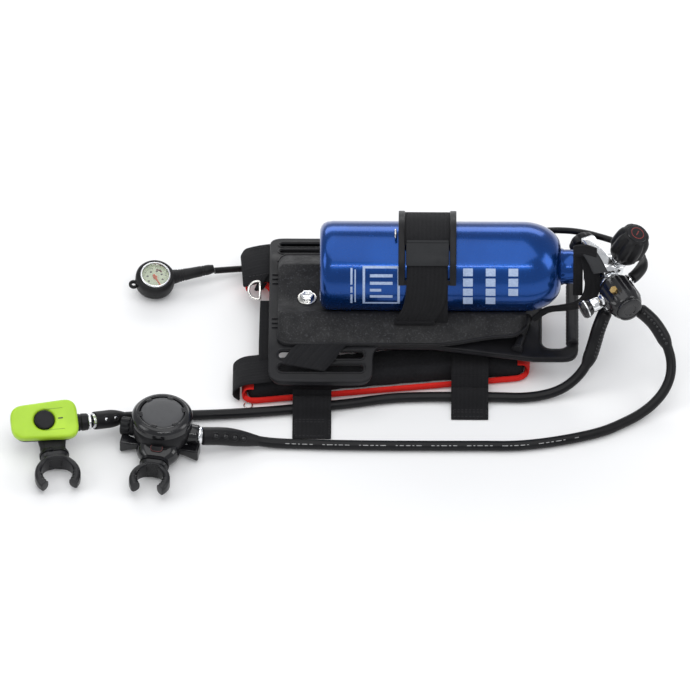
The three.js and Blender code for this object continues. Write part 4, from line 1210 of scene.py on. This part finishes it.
def saddle_half_width(x):
    """The saddle's half width: round at the base end, straight, then drawn in towards the valve."""
    base_end, taper_start, taper_end = -70, 109, 205
    if x < base_end:
        return SADDLE_HALF - 16 * (1 - math.sqrt(max(0, 1 - ((base_end - x) / 13.2) ** 2)))
    if x < taper_start:
        return SADDLE_HALF
    if x < taper_end:
        share = (x - taper_start) / (taper_end - taper_start)
        return SADDLE_HALF - 16.7 * (share * share * (3 - 2 * share))
    return 66 - 18 * ((x - taper_end) / 20) ** 2


def build_saddle():
    base = PLATE_TOP + 0.35
    shoulder = base + 3
    seat_r = TANK_R + 0.5
    stations = [
        -83, -82, -80, -77, -73, -66, -56, -40, -20, 0, 25, 50, 76, 100, 109, 116, 124, 132, 140, 150, 160,
        175, 190, 205, 212, 218, 222, 224.6,
    ]
    rings = []
    for x in stations:
        half = saddle_half_width(x)
        top = SADDLE_TOP if x > -74 else SADDLE_TOP - 7 * ((-74 - x) / 9) ** 2
        seat = []
        for i in range(13):
            angle = math.radians(-139 + 98 * i / 12)
            seat.append((seat_r * math.cos(angle), min(top, TANK_Z + seat_r * math.sin(angle))))
        knee = shoulder + (top - shoulder) * (half - 60) / (half - 43)
        right = [(half, base), (half, base + 2), (half - 1.2, shoulder), (min(60, half), knee),
                 (47, top - 1.2), (43.6, top)]
        left = [(-y, z) for y, z in reversed(right)]
        rings.append([(x, y, z) for y, z in right + seat[::-1] + left])
    loft("saddle_shell", rings, SADDLE, stands_for="saddle", sharp=30, bevel=0.7)
    for sign, side in ((-1, "front"), (1, "rear")):
        path = Path([(x, sign * (saddle_half_width(x) - 1.4), shoulder) for x in stations])
        tube("saddle_lip_" + side, path, 0, path.length, lambda d: 1.5, PLASTIC, 8, 12)
    bolt = LAYOUT @ shift(-47, 0, base)
    washer = [(4, 3), (4, 11.6), (4.8, 12), (5.6, 11.6), (5.6, 3)]
    lathe("saddle_bolt_washer", washer, NICKEL, bolt, 40, bevel=0.2)
    head = [(5.6, 2), (5.6, 8.6), (6.2, 9.4), (10, 9.4), (11, 8.2), (11, 5.4), (9.4, 4.6), (9.4, 0)]
    lathe("saddle_bolt_head", head, CHROME, bolt, 6, stands_for="saddle_bolt", bevel=0.5)


# ---------------------------------------------------------------- cam band
def round_tank(radius, angle):
    """The [y, z] place at an angle from the front, over the top, to the back."""
    rad = math.radians(angle)
    return -radius * math.cos(rad), TANK_Z + radius * math.sin(rad)


def band_strip(name, x0, x1, start, end, radius_at, thickness_at, look, **options):
    """A curved bar over the tank between two angles, rounded along its edges."""
    rings = []
    steps = max(8, int(abs(end - start) / 3))
    for i in range(steps + 1):
        angle = start + (end - start) * i / steps
        radius = radius_at(angle)
        thick = thickness_at(angle)
        outline = rounded(x1 - x0, thick, min(thick / 2 - 0.05, 1.2), (x0 + x1) / 2, 0, 3)
        rings.append([(x, *round_tank(radius + lift, angle)) for x, lift in outline])
    return loft(name, rings, look, sharp=50, **options)


def crown_radius(angle):
    """How far the buckle frame's outer edge stands from the tank's axis."""
    crown = [(20, 62.5), (35, 65), (55, 68), (75, 70), (100, 71), (125, 69), (140, 66)]
    for (a0, r0), (a1, r1) in zip(crown, crown[1:]):
        if angle <= a1:
            return r0 + (r1 - r0) * (angle - a0) / (a1 - a0)
    return crown[-1][1]


def build_band():
    middle = 101.75
    inner = 58
    over = [round_tank(57.1, angle) for angle in range(-8, 189, 8)]
    line = [(middle, y, z) for y, z in [(-54.4, 73), (-56.8, 90), *over, (56.8, 90), (54.4, 73)]]
    ribbon("band_webbing", line, (51, 0, 0), WEBBING, 1.9, 3, stands_for="cam_webbing")
    for index, (x, node) in enumerate(((66, "band_frame"), (129.5, None))):
        band_strip(f"band_rail_{index}", x, x + 8, 20, 140, lambda a: (inner + crown_radius(a)) / 2,
                   lambda a: crown_radius(a) - inner, PLASTIC, stands_for=node)
    band_strip("band_rear_bar", 66, 137, 132, 140, lambda a: 62, lambda a: 5, PLASTIC)
    band_strip("band_front_bar", 66, 137, 20, 26, lambda a: 60.4, lambda a: 2.6, PLASTIC)
    wrap = [(middle, *round_tank(crown_radius(angle) - 2.6, angle)) for angle in range(66, 139, 6)]
    ribbon("band_webbing_wrap", wrap, (57, 0, 0), WEBBING, 2, 3)
    band_strip("buckle_plate", 75.5, 128.5, 43, 70, lambda a: crown_radius(a) - 1.6, lambda a: 2.2, SATIN,
               stands_for="buckle_lever", body="band_buckle")
    band_strip("buckle_lip", 76, 128, 67.5, 70, lambda a: crown_radius(a) - 0.4, lambda a: 1.4, SATIN,
               body="band_buckle")
    pin = towards((76.5, *round_tank(65.2, 77)), (1, 0, 0))
    lathe("buckle_pin", [(0, 0), (0, 1.7), (0.4, 2), (49.6, 2), (50, 1.7), (50, 0)], STEEL, pin, 24,
          body="band_buckle")
    tail = [
        (middle, *round_tank(62.5, 50)), (middle, *round_tank(62.2, 34)), (101, *round_tank(62.6, 18)),
        (99, -62.4, 122), (96, -62, 108), (92, -60.6, 97), (88.5, -59, 88), (86.5, -57.5, 82.6),
    ]
    ribbon("band_webbing_tail", tail, (50, 0, 0), WEBBING, 2, 3)
    roll = towards((61.5, -57.2, 81.4), (1, 0, 0))
    lathe("band_tail_roll", [(0, 1), (0, 3.4), (1, 3.9), (49, 3.9), (50, 3.4), (50, 1)], WEBBING_FLAT,
          roll, 24)
    loose = LAYOUT @ shift(62.4, *round_tank(62, 82)) @ ALONG_X
    lathe("band_keeper", whole_ring(5.4, 1.3), NICKEL, loose, 32, closed=True, sharp=70)


build_tank()
build_valve()
build_first_stage()
build_primary()
build_octopus()
build_gauge()
build_plate()
build_saddle()
build_band()

# ---------------------------------------------------------------- harness
# A seam is a long edge's two ends, the outer edge first. A tip is where the piping ends in a tab.
PADS = {
    "front": {
        "corners": [(-124, -122), (226, -76), (226, -12), (-124, -58)],
        "seams": (((-124, -122), (226, -76)), ((-124, -58), (226, -12))),
        "tips": ((-124, -110), (226, -64)),
    },
    "rear": {
        "corners": [(-112, 98), (-96, 90), (-70, 34), (226, 4), (226, 62)],
        "seams": (((-124, 96), (226, 62)), ((-124, 40), (226, 4))),
        "tips": ((-122, 86), (226, 50)),
    },
}


def crossing(a, b, c, d):
    """Where two endless lines cross."""
    first, second = b - a, d - c
    share = (c - a).cross(second) / first.cross(second)
    return a + first * share


def pad_outline(name, inset):
    """A pad's outline in plan, anticlockwise, drawn in by a margin and with its corners eased."""
    corners = [Vector(corner) for corner in PADS[name]["corners"]]
    lines = []
    for a, b in zip(corners, corners[1:] + corners[:1]):
        along = (b - a).normalized()
        inward = Vector((-along.y, along.x))
        lines.append((a + inward * inset, b + inward * inset))
    moved = [crossing(*lines[i - 1], *line) for i, line in enumerate(lines)]
    return softened([tuple(corner) for corner in moved], 16)


def swell(pad, cap, frames=20):
    """Blows a pad up a little as cloth, then freezes its shape. No point moves further than cap."""
    remesh = pad.modifiers.new("remesh", "REMESH")
    remesh.mode = "VOXEL"
    remesh.voxel_size = 0.005
    freeze(pad)
    start = [vertex.co.copy() for vertex in pad.data.vertices]
    cloth = pad.modifiers.new("cloth", "CLOTH")
    cloth.settings.use_pressure = True
    cloth.settings.uniform_pressure_force = 4
    cloth.settings.effector_weights.gravity = 0
    cloth.point_cache.frame_start = 1
    cloth.point_cache.frame_end = frames
    for number in range(1, frames + 1):
        bpy.context.scene.frame_set(number)
    freeze(pad)
    bpy.context.scene.frame_set(1)
    for vertex, before in zip(pad.data.vertices, start):
        move = vertex.co - before
        if move.length > cap:
            vertex.co = before + move.normalized() * cap


def freeze(piece):
    """Applies every modifier."""
    evaluated = piece.evaluated_get(bpy.context.evaluated_depsgraph_get())
    mesh = bpy.data.meshes.new_from_object(evaluated)
    piece.modifiers.clear()
    piece.data = mesh


def quilted(pad, front, back):
    """Flattens the pad's underside on the floor and sinks sewn channels into its top."""
    (x0, y0), (x1, y1) = front
    (_, y2), (_, y3) = back
    lowest, highest, sewn_above = 0.5, 26.5, 12
    for vertex in pad.data.vertices:
        x, y, z = (LAYOUT.inverted() @ vertex.co)[:]
        share = min(1, max(0, (x - x0) / (x1 - x0)))
        outer = y0 + (y1 - y0) * share
        inner = y2 + (y3 - y2) * share
        if z > sewn_above:
            for channel in (0.33, 0.67):
                z -= 3.4 * math.exp(-(((y - outer - (inner - outer) * channel) / 3.4) ** 2))
            z -= 1.2 * math.exp(-((((x - x0) % 88 - 44) / 3.2) ** 2))
        z = min(highest, max(lowest, z))
        vertex.co = LAYOUT @ Vector((x, y, z))
    for polygon in pad.data.polygons:
        polygon.use_smooth = True
    smooth = pad.modifiers.new("subdivision", "SUBSURF")
    smooth.levels = smooth.render_levels = 1


def build_pads():
    for name, plan in PADS.items():
        pad = slab(f"pad_cushion_{name}", pad_outline(name, 1.5), 2.5, 22, PADDING, rounding=5)
        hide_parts(f"pad_{name}")
        swell(pad, 0.006)
        quilted(pad, *plan["seams"])
        pad.data.materials.clear()
        pad.data.materials.append(PADDING.material)
        piping = dense(pad_outline(name, 0), 5)
        moulding(f"pad_piping_{name}", piping, PIPING, (3.2, 4.2), lambda x, y: 5.2, 70)
        for (x, y), out, end in zip(plan["tips"], (-1, 1), ("base", "valve")):
            fold = ((-12, 21.6), (-3, 20.6), (1.5, 13), (0.5, 5))
            tab = [(x + out * along, y, z) for along, z in fold]
            ribbon(f"pad_tip_{name}_{end}", tab, (0, 15, 0), PIPING, 2, 2)


def keeper(name, node, hose_y, hose_radius, start, end, x0, x1):
    """A webbing loop over a hose, sewn down with its tail on the floor."""
    middle = (x0 + x1) / 2
    thread_z = 2.3
    over = []
    for i in range(9):
        angle = math.radians(25 + 125 * i / 8)
        over.append((hose_y + hose_radius * math.cos(angle), 6.4 + hose_radius * math.sin(angle)))
    tail = [(hose_y - 14.5, 5), (hose_y - 18, 2), (hose_y - 22, 1.4), (end, 1.4)]
    line = [(middle, *place) for place in (start, *over, *tail)]
    ribbon(name, line, (x1 - x0, 0, 0), WEBBING, 1.8, 2.5, stands_for=node)
    runs = []
    for y in (hose_y - 20, hose_y - 24, end + 4):
        runs.append(((x0 + 3, y, thread_z), (x1 - 3, y, thread_z)))
    for x in (x0 + 2.6, x1 - 2.6):
        runs.append(((x, hose_y - 20, thread_z), (x, end + 3, thread_z)))
    stitches(name + "_stitching", runs, (0, 0, 1))


def build_ring(name, place, radius, wire, limit=math.pi / 18, chord=1, **options):
    """A wire ring, open by an angle that is closed by a straight side in so many steps."""
    angles = [limit + (2 * math.pi - 2 * limit) * i / 40 for i in range(41)]
    line = [Vector((radius * math.cos(a), radius * math.sin(a), 0)) for a in angles]
    line += [line[-1].lerp(line[0], i / chord) for i in range(1, chord)]
    rings = []
    for i, point in enumerate(line):
        along = (line[(i + 1) % len(line)] - line[i - 1]).normalized()
        out = along.cross(UP)
        rings.append([point + out * wire * math.cos(a) + UP * wire * math.sin(a) for a in turns(12)])
    return loft(name, rings, NICKEL, place, closed=True, sharp=70, **options)


def build_straps():
    keeper("keeper_base", "hose_keeper_left", -131, 12, (-115, 19), -184, -64, -16)
    keeper("keeper_valve", "hose_keeper_right", -112, 10, (-92, 23), -148, 132, 178)
    over_pad = [(155, -44, 30), (155, -64, 28.6), (155, -82, 26.4), (155, -91, 21)]
    ribbon("pad_band_valve", over_pad, (46, 0, 0), WEBBING, 1.8, 4)
    ribbon("slot_webbing_rear", [(-29, 78, 50), (-29, 100, 47), (-29, 126, 42)], (102, 0, 0), WEBBING)
    round_neck = [math.radians(-10 + 200 * i / 14) for i in range(15)]
    collar = [(-25.2 * math.cos(a), TANK_Z + 25.2 * math.sin(a)) for a in round_neck]
    collar = [(288, *place) for place in ((-27.5, 100), *collar, (27.5, 100))]
    ribbon("neck_collar", collar, (12, 0, 0), WEBBING, 2, 3, stands_for="neck_strap")
    run = [
        (297, 4, 150), (301, -12, 146), (305, -25, 133), (306, -31, 116), (301, -33, 100), (289, -31, 87),
        (270, -26, 77), (250, -22, 69), (232, -30, 60),
    ]
    widths = [
        (20, 0, 0), (20, 0, 0), (20, 0, 0), (20, 0, -2), (18, 2, -8), (13, 5, -13), (8, 5, -14),
        (6, 4, -12), (5, 4, -10),
    ]
    ribbon("retaining_strap", run, widths, WEBBING, 2, 3)
    ribbon("strap_fold", [(284, -8, 156), (297, -12, 161), (311, -17, 160)], (0, 12, 9), WEBBING, 5, 2)
    end_tab = [(300, -12, 160), (304, -18, 158.5), (310, -28, 154), (316, -37, 146)]
    ribbon("strap_end_tab", end_tab, (18, 1, 2), TAB, 2.4, 2)
    runs = [((302, -29, 155.6), (308, -37.4, 147.6)), ((318, -28, 155.6), (324, -36.4, 147.6))]
    stitches("tab_stitching", runs, (0, -0.7, 0.7))
    start, end = Vector((226, -14, 50)), Vector((213, -74, 50))
    span = (end - start).length
    flange = [(0, 0), (0, 6.4), (1.6, 7), (3.4, 6.4), (4, 5.2)]
    outline = flange + [(span - along, radius) for along, radius in reversed(flange)]
    lathe("strap_roller", outline, PLASTIC, towards(start, end - start), 40, sharp=50)
    side = [(-99, 27, 36.5), (-99.5, 0, 35), (-100, -50, 34), (-100, -72, 32), (-100, -84, 27)]
    ribbon("side_strip", side, (13, 0, 0), WEBBING, 1.6, 4)
    tail = [(-20, -72, 65.2), (-29, -84, 64.6), (-41, -99, 60.6), (-52, -114, 56)]
    widths = [(46, -20, 0), (48, -20, -2), (52, -18, -5), (54, -10, -3)]
    ribbon("folded_tail", tail, widths, WEBBING, 2.2, 3)
    wrap = [
        (-90, -88, 31), (-108, -90, 30), (-126, -91, 27), (-136, -92, 19), (-137, -92, 10), (-130, -92, 3),
    ]
    ribbon("pad_wrap", wrap, (0, 52, 0), WEBBING, 2, 3)
    flap = softened([(-80, 58), (-80, 124), (-126, 127), (-131, 114), (-127, 58)], 4)
    slab("shoulder_flap", flap, 0, 2.2, WEBBING_FLAT, LAYOUT @ shift(0, 0, 46), rounding=0.8,
         bend=lambda x, y: -12 * ((-80 - x) / 48) ** 2 - 4 * ((y - 93) / 31) ** 2)
    rows = [((-120, y, 40), (-86, y, 47.4)) for y in (68, 118)]
    stitches("flap_stitching", rows, (0, 0, 1))
    tab = [
        (-98, 66, 46), (-103, 58, 44), (-107, 50, 41), (-108.5, 46, 39), (-106, 48, 36.5), (-101, 58, 38),
    ]
    ribbon("ring_tab", tab, (9, 3, 0), WEBBING, 1.6, 2)
    hold = LAYOUT @ shift(-109, 44, 39) @ turn(47, "X")
    radius = 11
    build_ring("d_ring_wire", hold, radius, 1.6, math.acos(3 / radius), 6, body="harness_ring",
               stands_for="d_ring")
    build_ring("small_ring", LAYOUT @ shift(-119, -125, 1.4), 5.2, 0.9)


build_pads()
build_straps()

# ---------------------------------------------------------------- CAD pieces that stay
KEPT = {
    "dip_tube": BRASS,
    "valve_stem": BRASS,
    "first_stage_piston": BRASS,
    "gauge_movement": BRASS,
    "port_plug": BRASS,
    "piston_spring": STEEL,
    "primary_purge_spring": STEEL,
    "primary_lever": STEEL,
    "octopus_lever": STEEL,
    "primary_valve_tube": CHROME,
    "octopus_valve_tube": CHROME,
    "primary_diaphragm": SILICONE,
    "octopus_diaphragm": SILICONE,
    "gauge_lens": LENS,
}
for node, look in KEPT.items():
    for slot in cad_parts[node].material_slots:
        slot.material = look.material
